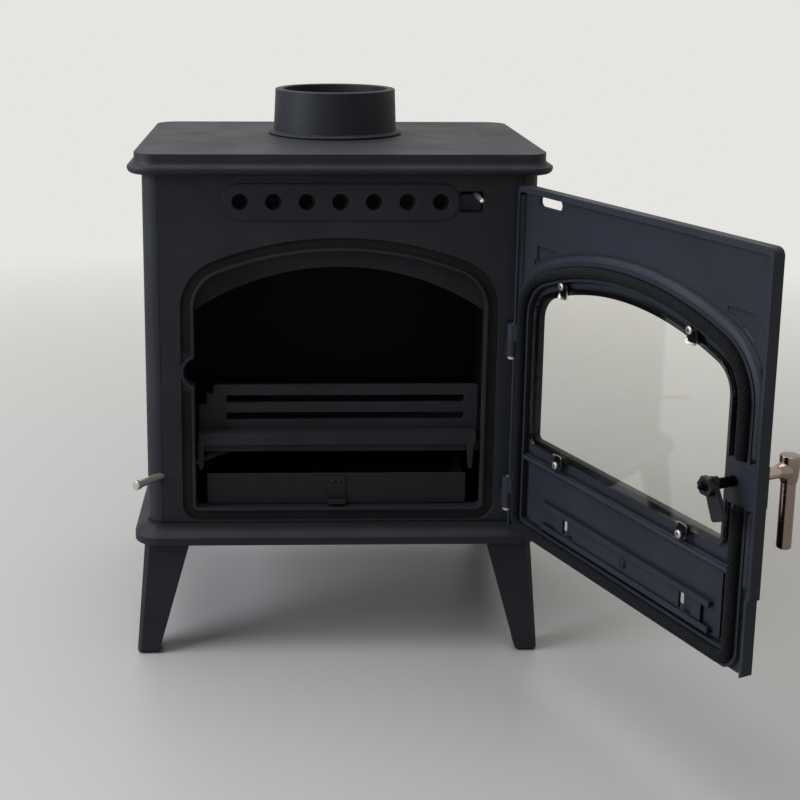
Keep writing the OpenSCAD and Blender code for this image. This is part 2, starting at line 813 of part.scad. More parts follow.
module side_brick(side) {
    in_frame() color(brick) translate([side * (inner_x - seat - brick_t / 2) - brick_t / 2, brick_y,
        ledge_level + seat]) cube([brick_t, side_brick_l, brick_h]);
}

module left_brick() {
    side_brick(-1);
}

module right_brick() {
    side_brick(1);
}

module rear_brick() {
    half = inner_x - brick_t - 2 * seat;
    in_frame() color(brick) translate([-half, rear_wall_y - seat - brick_t, grate_top + seat])
        cube([2 * half, brick_t, ledge_level + brick_h - grate_top]);
}

module baffle_board() {
    gap_y = 46;
    in_frame() color(brick) translate([-inner_x + 1, brick_y + gap_y, ledge_level + brick_h + 2 * seat])
        cube([2 * inner_x - 2, side_brick_l - gap_y, baffle_t]);
}

// Fixed plate of the grate, with a round hole and a ring that the disc turns on
module grate_frame() {
    half = inner_x - brick_t - 2 * seat;
    front = 17;
    back = rear_wall_y - seat;
    ring = 7;
    hole_r = disc_r + 0.5;
    in_frame() color(iron_inside) {
        translate([0, 0, grate_z]) linear_extrude(height = grate_t) difference() {
            translate([-half, front]) square([2 * half, back - front]);
            translate([0, disc_y]) circle(hole_r);
            difference() {
                for (side = [-1, 1]) for (i = [0 : 13]) translate([side * 142, 38 + i * 17])
                    round_rect(-26, 26, -4, 4, 3.99);
                translate([0, disc_y]) circle(hole_r + 12);
            }
        }
        translate([0, disc_y, grate_z - 4]) linear_extrude(height = 4.1) difference() {
            circle(hole_r + 6);
            circle(hole_r - ring);
        }
    }
}

// Round grate that the rod turns to and fro, with a slotted lug below for the rod's pin
module riddling_disc() {
    lug_h = 13;
    lug_half = 9;
    in_frame() color(iron_inside) translate([0, disc_y, 0]) {
        translate([0, 0, disc_z]) linear_extrude(height = grate_t - 0.2) difference() {
            circle(disc_r);
            for (i = [-5 : 5]) let (half = sqrt(pow(disc_r - 13, 2) - pow(i * 16, 2)))
                translate([0, i * 16]) {
                    round_rect(6, half, -4, 4, 3.99);
                    round_rect(-half, -6, -4, 4, 3.99);
                }
        }
        rotate([0, 0, crank_angle]) translate([crank_r - 12, -lug_half, disc_z - lug_h]) difference() {
            cube([24, 2 * lug_half, lug_h + 4]);
            translate([3, lug_half - crank_pin_d / 2 - 0.7, -cut])
                cube([18, crank_pin_d + 1.4, lug_h - 1]);
        }
    }
}

module riddling_rod() {
    length = rod_run + rod_out;
    in_frame() color(steel) {
        translate([rod_exit[0] - rod_out * rod_dir[0], rod_exit[1] - rod_out * rod_dir[1], rod_level])
            rotate([0, 90, 90 - rod_angle]) cylinder(h = length + 6, d = rod_d);
        translate([crank[0], crank[1] + disc_y, rod_level]) cylinder(h = disc_z - rod_level - 3, d = crank_pin_d);
    }
}

module rod_knob() {
    knob_l = 6;
    in_frame() color(steel)
        translate([rod_exit[0] - rod_out * rod_dir[0], rod_exit[1] - rod_out * rod_dir[1], rod_level])
        rotate([0, 90, 90 - rod_angle]) translate([0, 0, -knob_l]) rotate_extrude()
            polygon([[0, 0], [4.5, 0], [5.5, 1], [5.5, knob_l - 1], [4.5, knob_l], [0, knob_l]]);
}

// Cast fence that keeps the logs off the glass, standing on the front of the grate
module log_fence() {
    shelf_y = 9;
    bar_y = 25;
    bar_t = 6;
    foot = ledge_level + 10.5;
    edge = opening_half_w;
    in_frame() color(iron_inside) {
        slab(bar_y, bar_y + bar_t) difference() {
            union() {
                translate([3.5 - edge, foot]) square([2 * edge - 19, 45]);
                translate([12.5 - edge, foot]) square([2 * edge - 15, 58]);
                round_rect(20.5 - edge, edge - 2.5, foot + 45, foot + 68.5, 3);
                translate([edge - 15.5, foot]) square([13, 60]);
            }
            for (z = [25.9, 47]) round_rect(35.5 - edge, edge - 18.5, foot + z, foot + z + 9, 3);
            translate([12.5 - edge, foot + 58]) square([8, 20]);
        }
        slab(shelf_y, bar_y + bar_t) translate([3.5 - edge, grate_top + seat]) square([2 * edge - 9, 14.5]);
        for (x = [6 - edge, edge - 11.7]) slab(shelf_y, shelf_y + 6)
            polygon([[x - 4, grate_top + seat + 1], [x + 4, grate_top + seat + 1], [x + 2.5, grate_top - 27],
                [x, grate_top - 31], [x - 2.5, grate_top - 27]]);
    }
}

// Folded sheet-steel tray under the grate
module ash_pan() {
    left = pan_x - pan_w / 2;
    in_frame() color([0.22, 0.22, 0.24]) difference() {
        union() {
            translate([left, pan_y, pan_z]) cube([pan_w, pan_l, pan_side_h]);
            translate([left, pan_y, pan_z]) cube([pan_w, pan_t, pan_front_h]);
        }
        translate([left + pan_t, pan_y + pan_t, pan_z + pan_t])
            cube([pan_w - 2 * pan_t, pan_l - 2 * pan_t, pan_side_h]);
    }
}

// Folded lip to pull the pan by, with its two rivets
module pan_pull() {
    half = 10;
    in_frame() color([0.22, 0.22, 0.24]) translate([pan_x, pan_y, pan_z]) {
        translate([-half, 0, 0]) rotate([90, 0, 90]) linear_extrude(height = 2 * half)
            polygon([[0, 34], [-1.5, 34], [-1.5, 4.5], [-8.5, 4.5], [-8.5, 9], [-10, 9], [-10, 3], [0, 3]]);
        for (x = [-4.1, 4.1]) translate([x, -1.5, 28.5]) rotate([90, 0, 0]) rotate_extrude()
            polygon([[0, -0.5], [2.2, -0.5], [2.2, 0.3], [1.4, 1], [0, 1.2]]);
    }
}

// ---------------------------------------------------------------- door

module hinge_pins() {
    in_frame() color(steel) for (height = hinge_heights) translate([hinge_x, -hinge_out, body_z + height])
        rotate_extrude() polygon([[0, -pin_head], [knuckle_r - 1, -pin_head], [knuckle_r - 1, 0], [hinge_pin_d / 2, 0],
            [hinge_pin_d / 2, knuckle_fixed_h + knuckle_door_h - 1], [hinge_pin_d / 2 - 1, knuckle_fixed_h
            + knuckle_door_h], [0, knuckle_fixed_h + knuckle_door_h]]);
}

// Outline of the shut door, drawn in by d on its upright edges and its top
module door_outline(d) {
    difference() {
        round_rect(-door_free + d, door_hinge_edge - d, door_z, door_top_z - d, door_corner_r - d);
        translate([-door_free - cut, door_z - cut]) square([door_step + cut + d, door_step_z - door_z + d]);
    }
    translate([-door_free + door_step + d, door_z])
        round_rect(0, door_free, 0, door_corner_r * 3, door_corner_r - d);
}

module door_knuckle(height) {
    translate([hinge_x, -hinge_out, body_z + height + knuckle_fixed_h + seat]) {
        cylinder(h = knuckle_door_h - seat, r = knuckle_r);
        translate([-15, -knuckle_r, 0]) cube([15, knuckle_r + lip_t, knuckle_door_h - seat]);
    }
}

// Room round a fixed knuckle, cut from the hinge edge of the door
module knuckle_room(height) {
    below = pin_head + 1;
    translate([hinge_x - knuckle_r - 1.5, -hinge_out - 40, body_z + height - below])
        cube([60, 80, knuckle_fixed_h + below + seat]);
}

// Shallow pocket beside a shoulder of the arch
module spandrel_pocket(x0, x1) {
    difference() {
        translate([x0, arch_spring_z + 10]) square([x1 - x0, 56]);
        groove_arch(-moulding_w - 3);
    }
}

module clip_places() {
    edge = arch_top_r - glass_inset + glass_lap + 4.2;
    for (x = [glass_half_w - 47.5, 53.5 - glass_half_w])
        translate([x, 0, arch_centre_z + sqrt(edge * edge - x * x)]) children();
    for (x = [glass_half_w - 49.5, 51.5 - glass_half_w]) translate([x, 0, body_z + glass_foot - glass_lap - 8]) mirror([0, 0, 1]) children();
}

module door_casting() {
    on_door() color(iron_inside) difference() {
        union() {
            door_slab(outer_t, inner_t) door_outline(0);
            // Lip up both edges and over the top
            door_slab(outer_t, lip_t) difference() {
                door_outline(0);
                translate([0, -rib_t]) intersection() {
                    door_outline(rib_t);
                    translate([-door_free, door_z + rib_t]) square([2 * door_free, door_top_z - door_z]);
                }
                translate([-door_free + rib_t + door_step, door_z - cut])
                    square([door_free + door_hinge_edge - 2 * rib_t - door_step, 40]);
            }
            // Raised band and floor of the rope channel
            door_slab(inner_t - 0.1, channel_t) difference() {
                intersection() {
                    groove_arch(-moulding_w);
                    door_outline(0);
                }
                groove_arch(rope_inset + rope_d / 2 + channel_gap + rib_t);
            }
            // Outer and inner rib of the rope channel
            door_slab(channel_t - 0.1, rib_top_t) difference() {
                intersection() {
                    groove_arch(rope_inset - rope_d / 2 - channel_gap - rib_t);
                    door_outline(0);
                }
                groove_arch(rope_inset - rope_d / 2 - channel_gap);
            }
            door_slab(channel_t - 0.1, rib_top_t) difference() {
                groove_arch(rope_inset + rope_d / 2 + channel_gap);
                groove_arch(rope_inset + rope_d / 2 + channel_gap + rib_t);
            }
            // Frame round the glass and border of the foot, on the outer face
            door_slab(outer_t - 3, outer_t + 0.1) difference() {
                glass_arch(16);
                glass_arch(0);
            }
            door_slab(outer_t - 2, outer_t + 0.1) difference() {
                round_rect(door_mid_x - border_half, door_mid_x + border_half, door_z + 12, body_z + 92, 8);
                round_rect(door_mid_x - border_half + 6, door_mid_x + border_half - 6, door_z + 18, body_z + 86, 4);
            }
            // Raised panel inside the foot, and the rails of the air slide on it
            door_slab(inner_t - 0.1, plateau_t) round_rect(9.5 - opening_half_w, opening_half_w - 9.5,
                body_z + 21, door_bar_z + 2, 4);
            window_rails();
            // Bar between the foot panel and the glass, with a half-round edge
            door_slab(inner_t - 0.1, plateau_t + 2) translate([-opening_half_w, door_bar_z])
                square([2 * opening_half_w, 9]);
            translate([-opening_half_w, plateau_t + 2 - hinge_out, door_bar_z + 4.5]) rotate([0, 90, 0])
                cylinder(h = 2 * opening_half_w, r = 3.5, $fn = 32);
            // Boss of the latch, which interrupts the rope
            door_slab(outer_t - boss_t, rib_top_t) round_rect(-latch_x - boss_out, -latch_x + boss_in,
                latch_level - boss_half_h, latch_level + boss_half_h, 4);
            clip_places() door_slab(inner_t - 0.1, glass_top_t) circle(3.6);
            for (height = hinge_heights) door_knuckle(height);
        }
        door_slab(outer_t - 4, lip_t) glass_arch(0);
        for (height = hinge_heights) {
            knuckle_room(height);
            translate([hinge_x, -hinge_out, body_z + height]) cylinder(h = 60, d = hinge_pin_d + 2 * run);
        }
        door_slab(inner_t - 1.5, lip_t) {
            spandrel_pocket(hinge_x - 74, hinge_x - 30);
            spandrel_pocket(24 - door_free, 66 - door_free);
        }
        // Slot that the lever pin passes through
        door_slab(outer_t - cut, lip_t) round_rect(hinge_x - lever_slot[1], hinge_x - lever_slot[0],
            lever_z - lever_slot_h / 2, lever_z + lever_slot_h / 2, lever_slot_h / 2 - 0.01);
        // Air windows and the slot of the slide's stud
        for (side = [-1, 1]) door_slab(outer_t - cut, lip_t)
            translate([door_mid_x + side * window_x - window_size / 2, window_level - window_size / 2])
            square(window_size);
        door_slab(outer_t - cut, lip_t) round_rect(door_mid_x - window_rest - 12, door_mid_x + 6,
            window_level - window_stud_d / 2 - 0.5, window_level + window_stud_d / 2 + 0.5,
            window_stud_d / 2 + 0.49);
        door_slab(outer_t - boss_t - cut, lip_t) translate([-latch_x, latch_level])
            circle(d = spindle_d + 2 * run);
        clip_places() door_slab(inner_t - 2, glass_top_t + cut) circle(1.8);
    }
}

// Rails of L section for the air slide inside the foot of the door
module window_rails() {
    top_t = plateau_t + seat + slide_t + seat;
    for (side = [-1, 1]) translate([door_mid_x - window_rest / 2 - window_rail_half, -hinge_out, window_level])
        mirror([0, 0, side > 0 ? 0 : 1]) rotate([90, 0, 90]) linear_extrude(height = 2 * window_rail_half)
        polygon([[plateau_t - 0.1, window_half_h + seat], [top_t, window_half_h + seat],
            [top_t, window_half_h - 2], [top_t + 2, window_half_h - 2], [top_t + 2, window_half_h + 4],
            [plateau_t - 0.1, window_half_h + 4]]);
}

// Tube of radius r along an arc of the arch, about (x, z), from angle a0 to a1
module rope_arc(x, z, path_r, a0, a1) {
    translate([x, rope_centre_t - hinge_out, z]) rotate([90, 0, 0]) rotate([0, 0, a0])
        rotate_extrude(angle = a1 - a0) translate([path_r, 0]) circle(d = rope_d, $fn = 32);
}

module rope_run(x0, z0, x1, z1) {
    length = norm([x1 - x0, z1 - z0]);
    translate([x0, rope_centre_t - hinge_out, z0]) rotate([0, 90 - atan2(z1 - z0, x1 - x0), 0])
        cylinder(h = length, d = rope_d, $fn = 32);
}

// Sealing rope in its channel, cut where the boss of the latch crosses it
module rope_gasket() {
    side_x = arch_half_w - rope_inset;
    foot_z = arch_foot_z + rope_inset;
    bend = arch_corner_r - rope_inset;
    shoulder = atan2(arch_spring_z - arch_centre_z, arch_shoulder_x);
    boss_lo = latch_level - boss_half_h - seat;
    boss_hi = latch_level + boss_half_h + seat;
    on_door() color([0.08, 0.08, 0.08]) {
        rope_arc(0, arch_centre_z, arch_top_r - rope_inset, shoulder, 180 - shoulder);
        rope_arc(arch_shoulder_x, arch_spring_z, arch_shoulder_r - rope_inset, 0, shoulder);
        rope_arc(-arch_shoulder_x, arch_spring_z, arch_shoulder_r - rope_inset, 180 - shoulder, 180);
        rope_run(side_x, foot_z + bend, side_x, arch_spring_z);
        rope_run(-side_x, boss_hi, -side_x, arch_spring_z);
        rope_run(-side_x, foot_z + bend, -side_x, boss_lo);
        rope_arc(side_x - bend, foot_z + bend, bend, 270, 360);
        rope_arc(-side_x + bend, foot_z + bend, bend, 180, 270);
        rope_run(-side_x + bend, foot_z, side_x - bend, foot_z);
    }
}

module door_glass() {
    on_door() color([0.75, 0.80, 0.80, 0.3]) door_slab(tape_top_t, glass_top_t) glass_arch(glass_lap);
}

module glass_tape() {
    on_door() color([0.12, 0.12, 0.12]) door_slab(inner_t, tape_top_t) difference() {
        glass_arch(glass_lap);
        glass_arch(0.5);
    }
}

// Small plates that hold the glass down
module glass_clips() {
    clip_t = 1.5;
    on_door() color(steel) clip_places() door_slab(glass_top_t, glass_top_t + clip_t) difference() {
        round_rect(-5, 5, -13, 2.8, 2);
        circle(1.8);
    }
}

module clip_screws() {
    base = glass_top_t + 1.5;
    on_door() color(steel) clip_places() translate([0, -hinge_out, 0]) rotate([-90, 0, 0]) rotate_extrude()
        polygon([[0, inner_t - 1.5], [1.8, inner_t - 1.5], [1.8, base], [4.2, base], [4, base + 1.4],
            [3, base + 2.4], [1.6, base + 3], [0, base + 3.2]]);
}

// Flat bar with two windows that opens and shuts the door's air windows
module door_slide() {
    shift = door_mid_x - window_rest;
    on_door() color(iron_inside) door_slab(plateau_t + seat, plateau_t + seat + slide_t) difference() {
        translate([shift - window_x - 22, window_level - window_half_h])
            square([2 * (window_x + 22), 2 * window_half_h]);
        for (side = [-1, 1]) translate([shift + side * window_x - window_size / 2,
            window_level - window_size / 2]) square(window_size);
        translate([shift, window_level]) circle(d = window_stud_d);
    }
}

// Stud through the door plate with its knob outside and a riveted head inside
module door_slide_knob() {
    back = plateau_t + seat + slide_t;
    knob_l = 14;
    knob_r = 9;
    face = outer_t - 3;
    on_door() color(steel) translate([door_mid_x - window_rest, -hinge_out, window_level]) rotate([-90, 0, 0])
        rotate_extrude() polygon([[0, face - knob_l], [knob_r - 2, face - knob_l],
            [knob_r, face - knob_l + 2], [knob_r, face - 4], [knob_r - 3, face], [window_stud_d / 2, face],
            [window_stud_d / 2, back], [window_stud_d / 2 + 2, back], [window_stud_d / 2 + 1, back + 2],
            [0, back + 2.4]]);
}

// ---------------------------------------------------------------- latch and handle

// Draws about the latch spindle, with z along the spindle towards the inside of the door
module on_spindle() {
    on_door() translate([-latch_x, -hinge_out, latch_level]) rotate([-90, 0, 0]) children();
}

module latch_spindle() {
    face = outer_t - boss_t - seat;
    on_spindle() color(steel) rotate_extrude() polygon([[0, handle_t], [shank_d / 2, handle_t],
        [shank_d / 2, face], [spindle_d / 2, face], [spindle_d / 2, blade_face_t + blade_t + latch_nut_h],
        [spindle_d / 2 - 1.5, blade_face_t + blade_t + latch_nut_h + 1], [spindle_d / 2 - 1.5, spindle_end_t - 2],
        [spindle_d / 2 - 3, spindle_end_t], [0, spindle_end_t]]);
}

// Blade that hooks behind the rim of the firebox opening
module latch_blade() {
    on_spindle() color(iron_inside) translate([0, 0, blade_face_t]) rotate([0, 0, 180 - blade_angle])
        linear_extrude(height = blade_t) difference() {
            union() {
                circle(d = spindle_d + 6);
                polygon([[0, spindle_d / 2 + 2], [0, -spindle_d / 2 - 2], [blade_reach / 2, -blade_w / 2],
                    [blade_reach / 2, blade_w / 2]]);
                round_rect(blade_reach / 2 - 3, blade_reach, -blade_w / 2, blade_w / 2, 3);
                rotate([0, 0, 120]) translate([7, 0]) circle(d = 8);
            }
            circle(d = spindle_d);
        }
}

module latch_nut() {
    on_spindle() color(steel) translate([0, 0, blade_face_t + blade_t]) difference() {
        hexagon(17, latch_nut_h);
        translate([0, 0, -cut]) cylinder(h = latch_nut_h + 2 * cut, d = spindle_d);
    }
}

// Dark socket on the end of the shank that the handle tube stands through
module handle_collar() {
    on_spindle() color([0.1, 0.1, 0.1]) translate([0, 0, handle_t]) difference() {
        union() {
            rotate([90, 0, 0]) translate([0, 0, -13]) cylinder(h = 26, d = socket_d);
            cylinder(h = 16, d = socket_d - 2);
        }
        rotate([90, 0, 0]) translate([0, 0, -14]) cylinder(h = 28, d = handle_d);
        cylinder(h = 20, d = shank_d);
    }
}

module handle_tube() {
    end_r = 3;
    on_spindle() color(steel) translate([0, 0, handle_t]) difference() {
        rotate([90, 0, 0]) rotate_extrude()
            polygon([[0, -handle_drop], [handle_d / 2 - end_r, -handle_drop],
                [handle_d / 2 - 1, -handle_drop + 1], [handle_d / 2, -handle_drop + end_r],
                [handle_d / 2, handle_rise - 2], [handle_d / 2 - 2, handle_rise], [0, handle_rise]]);
        cylinder(h = handle_d, d = shank_d);
    }
}

base_plate();
leg_front_left();
leg_front_right();
leg_rear_left();
leg_rear_right();
leg_bolts();
left_side();
right_side();
back_panel();
front_plate();
top_plate();
flue_collar();
tie_rods();
tie_nuts();
air_slide();
slide_rails();
lever_pin();
airwash_deflector();
left_brick();
right_brick();
rear_brick();
baffle_board();
grate_frame();
riddling_disc();
riddling_rod();
rod_knob();
log_fence();
ash_pan();
pan_pull();
hinge_pins();
door_casting();
rope_gasket();
door_glass();
glass_tape();
glass_clips();
clip_screws();
door_slide();
door_slide_knob();
latch_spindle();
latch_blade();
latch_nut();
handle_collar();
handle_tube();
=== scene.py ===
import json
import logging
import math
from collections.abc import Iterator
from contextlib import contextmanager
from dataclasses import dataclass
from enum import Enum
from typing import ClassVar

import bmesh
import bpy
import numpy as np
from mathutils import Matrix, Vector


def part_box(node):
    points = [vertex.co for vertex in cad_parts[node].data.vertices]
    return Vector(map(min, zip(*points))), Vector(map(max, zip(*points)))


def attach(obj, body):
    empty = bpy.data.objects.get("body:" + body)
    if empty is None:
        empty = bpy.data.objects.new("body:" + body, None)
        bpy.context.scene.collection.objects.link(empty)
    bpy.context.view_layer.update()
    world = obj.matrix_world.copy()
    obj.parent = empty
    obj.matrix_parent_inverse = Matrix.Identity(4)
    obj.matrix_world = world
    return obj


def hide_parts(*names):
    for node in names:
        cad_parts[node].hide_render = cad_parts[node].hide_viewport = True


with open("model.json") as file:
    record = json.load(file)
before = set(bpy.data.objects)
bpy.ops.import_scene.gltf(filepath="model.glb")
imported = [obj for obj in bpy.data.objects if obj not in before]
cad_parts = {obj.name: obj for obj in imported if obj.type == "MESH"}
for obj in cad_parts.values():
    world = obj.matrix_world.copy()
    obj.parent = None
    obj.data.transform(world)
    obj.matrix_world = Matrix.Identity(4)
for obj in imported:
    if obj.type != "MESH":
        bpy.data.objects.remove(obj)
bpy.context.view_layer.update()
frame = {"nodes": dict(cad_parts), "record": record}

LOG = logging.getLogger("stove")
MM = 0.001
RIM_HIGHLIGHT = "wear_and_highlight"
FULL_TURN = 2 * math.pi
Socket = bpy.types.NodeSocket
# Numbers of the colour sockets of a Mix node
MIX_SHARE, MIX_FIRST, MIX_SECOND, MIX_RESULT = 0, 6, 7, 2
# Where most of a noise's values lie
MIDDLE = {"From Min": 0.3, "From Max": 0.7}


class Body(Enum):
    """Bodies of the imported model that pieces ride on."""

    STOVE = "stove"
    DOOR = "door"
    LATCH = "latch"
    DOOR_SLIDE = "door_air_slide"


class Slot(Enum):
    """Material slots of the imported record."""

    IRON = "cast_iron_black"
    IRON_INSIDE = "cast_iron_inside"
    SHEET = "black_sheet_steel"
    BRICK = "fire_brick"
    BOARD = "vermiculite"
    PLATED = "plated_steel"
    POLISHED = "polished_steel"
    BLACK_STEEL = "black_steel"
    ROPE = "glass_fibre_rope"
    GLASS = "ceramic_glass"


# ------------------------------------------------------------------ where things are


@dataclass(frozen=True)
class StoveFrame:
    """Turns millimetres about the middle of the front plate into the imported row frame."""

    centre_x: float
    front_y: float
    body_d: ClassVar[float] = 320.0

    @staticmethod
    def measured() -> "StoveFrame":
        """Finds the centre line on the base plate and the front face from the back panel.

        Returns:
            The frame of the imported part, in metres.
        """
        base_lo, base_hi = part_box("base_plate")
        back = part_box("back_panel")[1].y
        return StoveFrame((base_lo.x + base_hi.x) / 2, back - StoveFrame.body_d * MM)

    def place(self, x: np.ndarray, y: np.ndarray, z: np.ndarray) -> np.ndarray:
        """Places points given in millimetres from the centre line, the front face and the floor.

        Args:
            x: Distances to the right of the centre line.
            y: Distances behind the front face.
            z: Heights above the floor.

        Returns:
            Points in metres, with the coordinates on the last axis.
        """
        x, y, z = np.broadcast_arrays(x, y, z)
        return np.stack([self.centre_x + x * MM, self.front_y + y * MM, z * MM], axis=-1)


@dataclass(frozen=True)
class DoorFrame:
    """The open door: distance across it from the hinge, depth through it, and height."""

    stove: StoveFrame
    hinge_x: float = 199.0
    hinge_y: float = -8.0
    angle: float = math.radians(114.0)
    outer_t: float = -9.0
    inner_t: float = -4.5

    def place(self, x: np.ndarray, t: np.ndarray, z: np.ndarray) -> np.ndarray:
        """Places points of the shut door where the open door holds them.

        Args:
            x: Distances to the right of the centre line, with the door shut.
            t: Distances behind the hinge axis, with the door shut.
            z: Heights above the floor.

        Returns:
            Points in metres in the row frame.
        """
        across = self.hinge_x - x
        cos, sin = math.cos(self.angle), math.sin(self.angle)
        return self.stove.place(
            self.hinge_x - across * cos - t * sin, self.hinge_y - across * sin + t * cos, z
        )

    def spot(self, x: float, t: float, z: float) -> Vector:
        """Places one point, given in the same way."""
        return Vector(self.place(np.array(x), np.array(t), np.array(z)))

    def inward(self) -> Vector:
        """Gives the direction through the open door, from its outer to its inner face."""
        return Vector((-math.sin(self.angle), math.cos(self.angle), 0.0))


STOVE = StoveFrame.measured()
DOOR = DoorFrame(STOVE)


# ------------------------------------------------------------------ node trees


def linear(colour: str) -> tuple[float, float, float, float]:
    """Turns an sRGB hex colour into linear light.

    Args:
        colour: Six hex digits after a hash sign.

    Returns:
        Red, green, blue and an opaque alpha.
    """
    srgb = [int(colour[i : i + 2], 16) / 255 for i in (1, 3, 5)]
    return (*(c / 12.92 if c <= 0.04045 else ((c + 0.055) / 1.055) ** 2.4 for c in srgb), 1.0)


def add_node(
    tree: bpy.types.NodeTree, kind: str, inputs: dict[str | int, object] | None = None, **settings: object
) -> bpy.types.Node:
    """Adds one node with its settings, and links or sets its inputs.

    Args:
        tree: Tree that the node goes into.
        kind: Type name of the node, without the ShaderNode before it.
        inputs: What goes into each named or numbered input: a socket or a value.
        **settings: Properties of the node.

    Returns:
        The new node.
    """
    node = tree.nodes.new("ShaderNode" + kind)
    for name, value in settings.items():
        setattr(node, name, value)
    for name, value in (inputs or {}).items():
        if isinstance(value, Socket):
            tree.links.new(value, node.inputs[name])
        else:
            node.inputs[name].default_value = value
    return node


def per_metre(size_mm: float) -> float:
    """Gives the scale at which the marks of a pattern lie size_mm apart."""
    return 1 / (size_mm * MM)


@dataclass(frozen=True)
class Finish:
    """What every finish has: the name of the real one, its colour, how rough it is, and its patterns."""

    name: str
    colour: str
    roughness: float
    constants: ClassVar[dict[str, float]] = {}

    def surface(self, tree: bpy.types.NodeTree, place: Socket) -> dict[str, Socket]:
        """Says what changes over the surface; a plain finish is the same all over."""
        return {}

    def material(self) -> bpy.types.Material:
        """Makes the material from the finish's own numbers and patterns.

        Returns:
            The material.
        """
        made = bpy.data.materials.new(self.name)
        made.use_nodes = True
        made.diffuse_color = linear(self.colour)
        tree = made.node_tree
        shader = tree.nodes["Principled BSDF"]
        shader.inputs["Base Color"].default_value = linear(self.colour)
        shader.inputs["Roughness"].default_value = self.roughness
        for name, value in self.constants.items():
            shader.inputs[name].default_value = value
        place = add_node(tree, "TexCoord").outputs["Object"]
        for name, socket in self.surface(tree, place).items():
            tree.links.new(socket, shader.inputs[name])
        return made


@dataclass(frozen=True)
class StovePaint(Finish):
    """Matt heat-proof paint over sand-cast iron: the sand's grain shows through, handling leaves slightly
    paler, smoother patches, and painted shade darkens the inner corners."""

    wear_and_highlight: str = "#1d1f23"
    grain_mm: float = 1.6
    grain_depth_mm: float = 0.10
    swell_mm: float = 14.0
    swell_depth_mm: float = 0.22
    patch_mm: float = 70.0
    patch_range: tuple[float, float] = (0.35, 0.75)
    corner_mm: float = 0.7
    # Painted shade in the inner corners: how far the occlusion looks, how dark it paints, and over which
    # range of occlusion
    corner_shade_mm: float = 5.0
    corner_shade_dark: float = 0.2
    corner_shade_range: tuple[float, float] = (0.5, 0.93)
    constants: ClassVar[dict[str, float]] = {"Specular IOR Level": 0.22}

    def surface(self, tree: bpy.types.NodeTree, place: Socket) -> dict[str, Socket]:
        """Draws grain, swell, patches, painted shade in the inner corners, and soft corners.

        Args:
            tree: Tree of the material.
            place: Where on the object a point lies.

        Returns:
            What goes into each socket of the shader.
        """
        # The sand's own grain is about 0.3 mm, too fine to show, so it is drawn coarser
        sizes = ((self.grain_mm, 3.0), (self.swell_mm, 2.0), (self.patch_mm, 3.0))
        noises = [{"Vector": place, "Scale": per_metre(size), "Detail": detail} for size, detail in sizes]
        grain, swell, patches = (add_node(tree, "TexNoise", noise).outputs["Fac"] for noise in noises)
        wear_and_highlight = {"Value": patches, "From Min": self.patch_range[0], "From Max": self.patch_range[1]}
        share = add_node(tree, "MapRange", wear_and_highlight).outputs["Result"]
        colours = {MIX_SHARE: share, MIX_FIRST: linear(self.colour), MIX_SECOND: linear(self.wear_and_highlight)}
        paint = add_node(tree, "Mix", colours, data_type="RGBA").outputs[MIX_RESULT]
        # Painted shade: ambient occlusion darkens the paint in the inner corners
        sky = add_node(tree, "AmbientOcclusion", {"Distance": self.corner_shade_mm * MM}, samples=8).outputs["AO"]
        soot_and_shade = {"Value": sky, "From Min": self.corner_shade_range[0], "From Max": self.corner_shade_range[1]}
        unshaded_share = add_node(tree, "MapRange", {**soot_and_shade, "To Min": self.corner_shade_dark}).outputs["Result"]
        shaded_paint = add_node(tree, "VectorMath", {"Vector": paint, "Scale": unshaded_share}, operation="SCALE")
        rough = {"Value": patches, **MIDDLE, "To Min": self.roughness + 0.05, "To Max": self.roughness - 0.06}
        # The mould leaves no corner quite sharp
        soft = add_node(tree, "Bevel", {"Radius": self.corner_mm * MM}, samples=4).outputs["Normal"]
        wide = {"Height": swell, "Distance": self.swell_depth_mm * MM, "Strength": 1.0, "Normal": soft}
        under = add_node(tree, "Bump", wide).outputs["Normal"]
        fine = {"Height": grain, "Distance": self.grain_depth_mm * MM, "Strength": 1.0, "Normal": under}
        return {
            "Base Color": shaded_paint.outputs["Vector"],
            "Roughness": add_node(tree, "MapRange", rough).outputs["Result"],
            "Normal": add_node(tree, "Bump", fine).outputs["Normal"],
        }


@dataclass(frozen=True)
class SheetSteel(Finish):
    """Folded sheet steel with matt paint: flat, with only faint rub marks."""

    rubbed_and_highlit: str = "#121316"
    rub_and_highlight_mm: float = 30.0
    peel_mm: float = 3.0
    peel_depth_mm: float = 0.03
    constants: ClassVar[dict[str, float]] = {"Specular IOR Level": 0.22}

    def surface(self, tree: bpy.types.NodeTree, place: Socket) -> dict[str, Socket]:
        """Draws the rub marks and the paint's slight orange peel.

        Args:
            tree: Tree of the material.
            place: Where on the object a point lies.

        Returns:
            What goes into each socket of the shader.
        """
        cloud = {"Vector": place, "Scale": per_metre(self.rub_and_highlight_mm), "Detail": 4.0}
        rub_and_highlight = add_node(tree, "TexNoise", cloud).outputs["Fac"]
        peel = {"Vector": place, "Scale": per_metre(self.peel_mm), "Detail": 2.0}
        height = add_node(tree, "TexNoise", peel).outputs["Fac"]
        colours = {MIX_SHARE: rub_and_highlight, MIX_FIRST: linear(self.colour), MIX_SECOND: linear(self.rubbed_and_highlit)}
        rough = {"Value": rub_and_highlight, **MIDDLE, "To Min": self.roughness + 0.08, "To Max": self.roughness - 0.06}
        bump = {"Height": height, "Distance": self.peel_depth_mm * MM, "Strength": 1.0}
        return {
            "Base Color": add_node(tree, "Mix", colours, data_type="RGBA").outputs[MIX_RESULT],
            "Roughness": add_node(tree, "MapRange", rough).outputs["Result"],
            "Normal": add_node(tree, "Bump", bump).outputs["Normal"],
        }


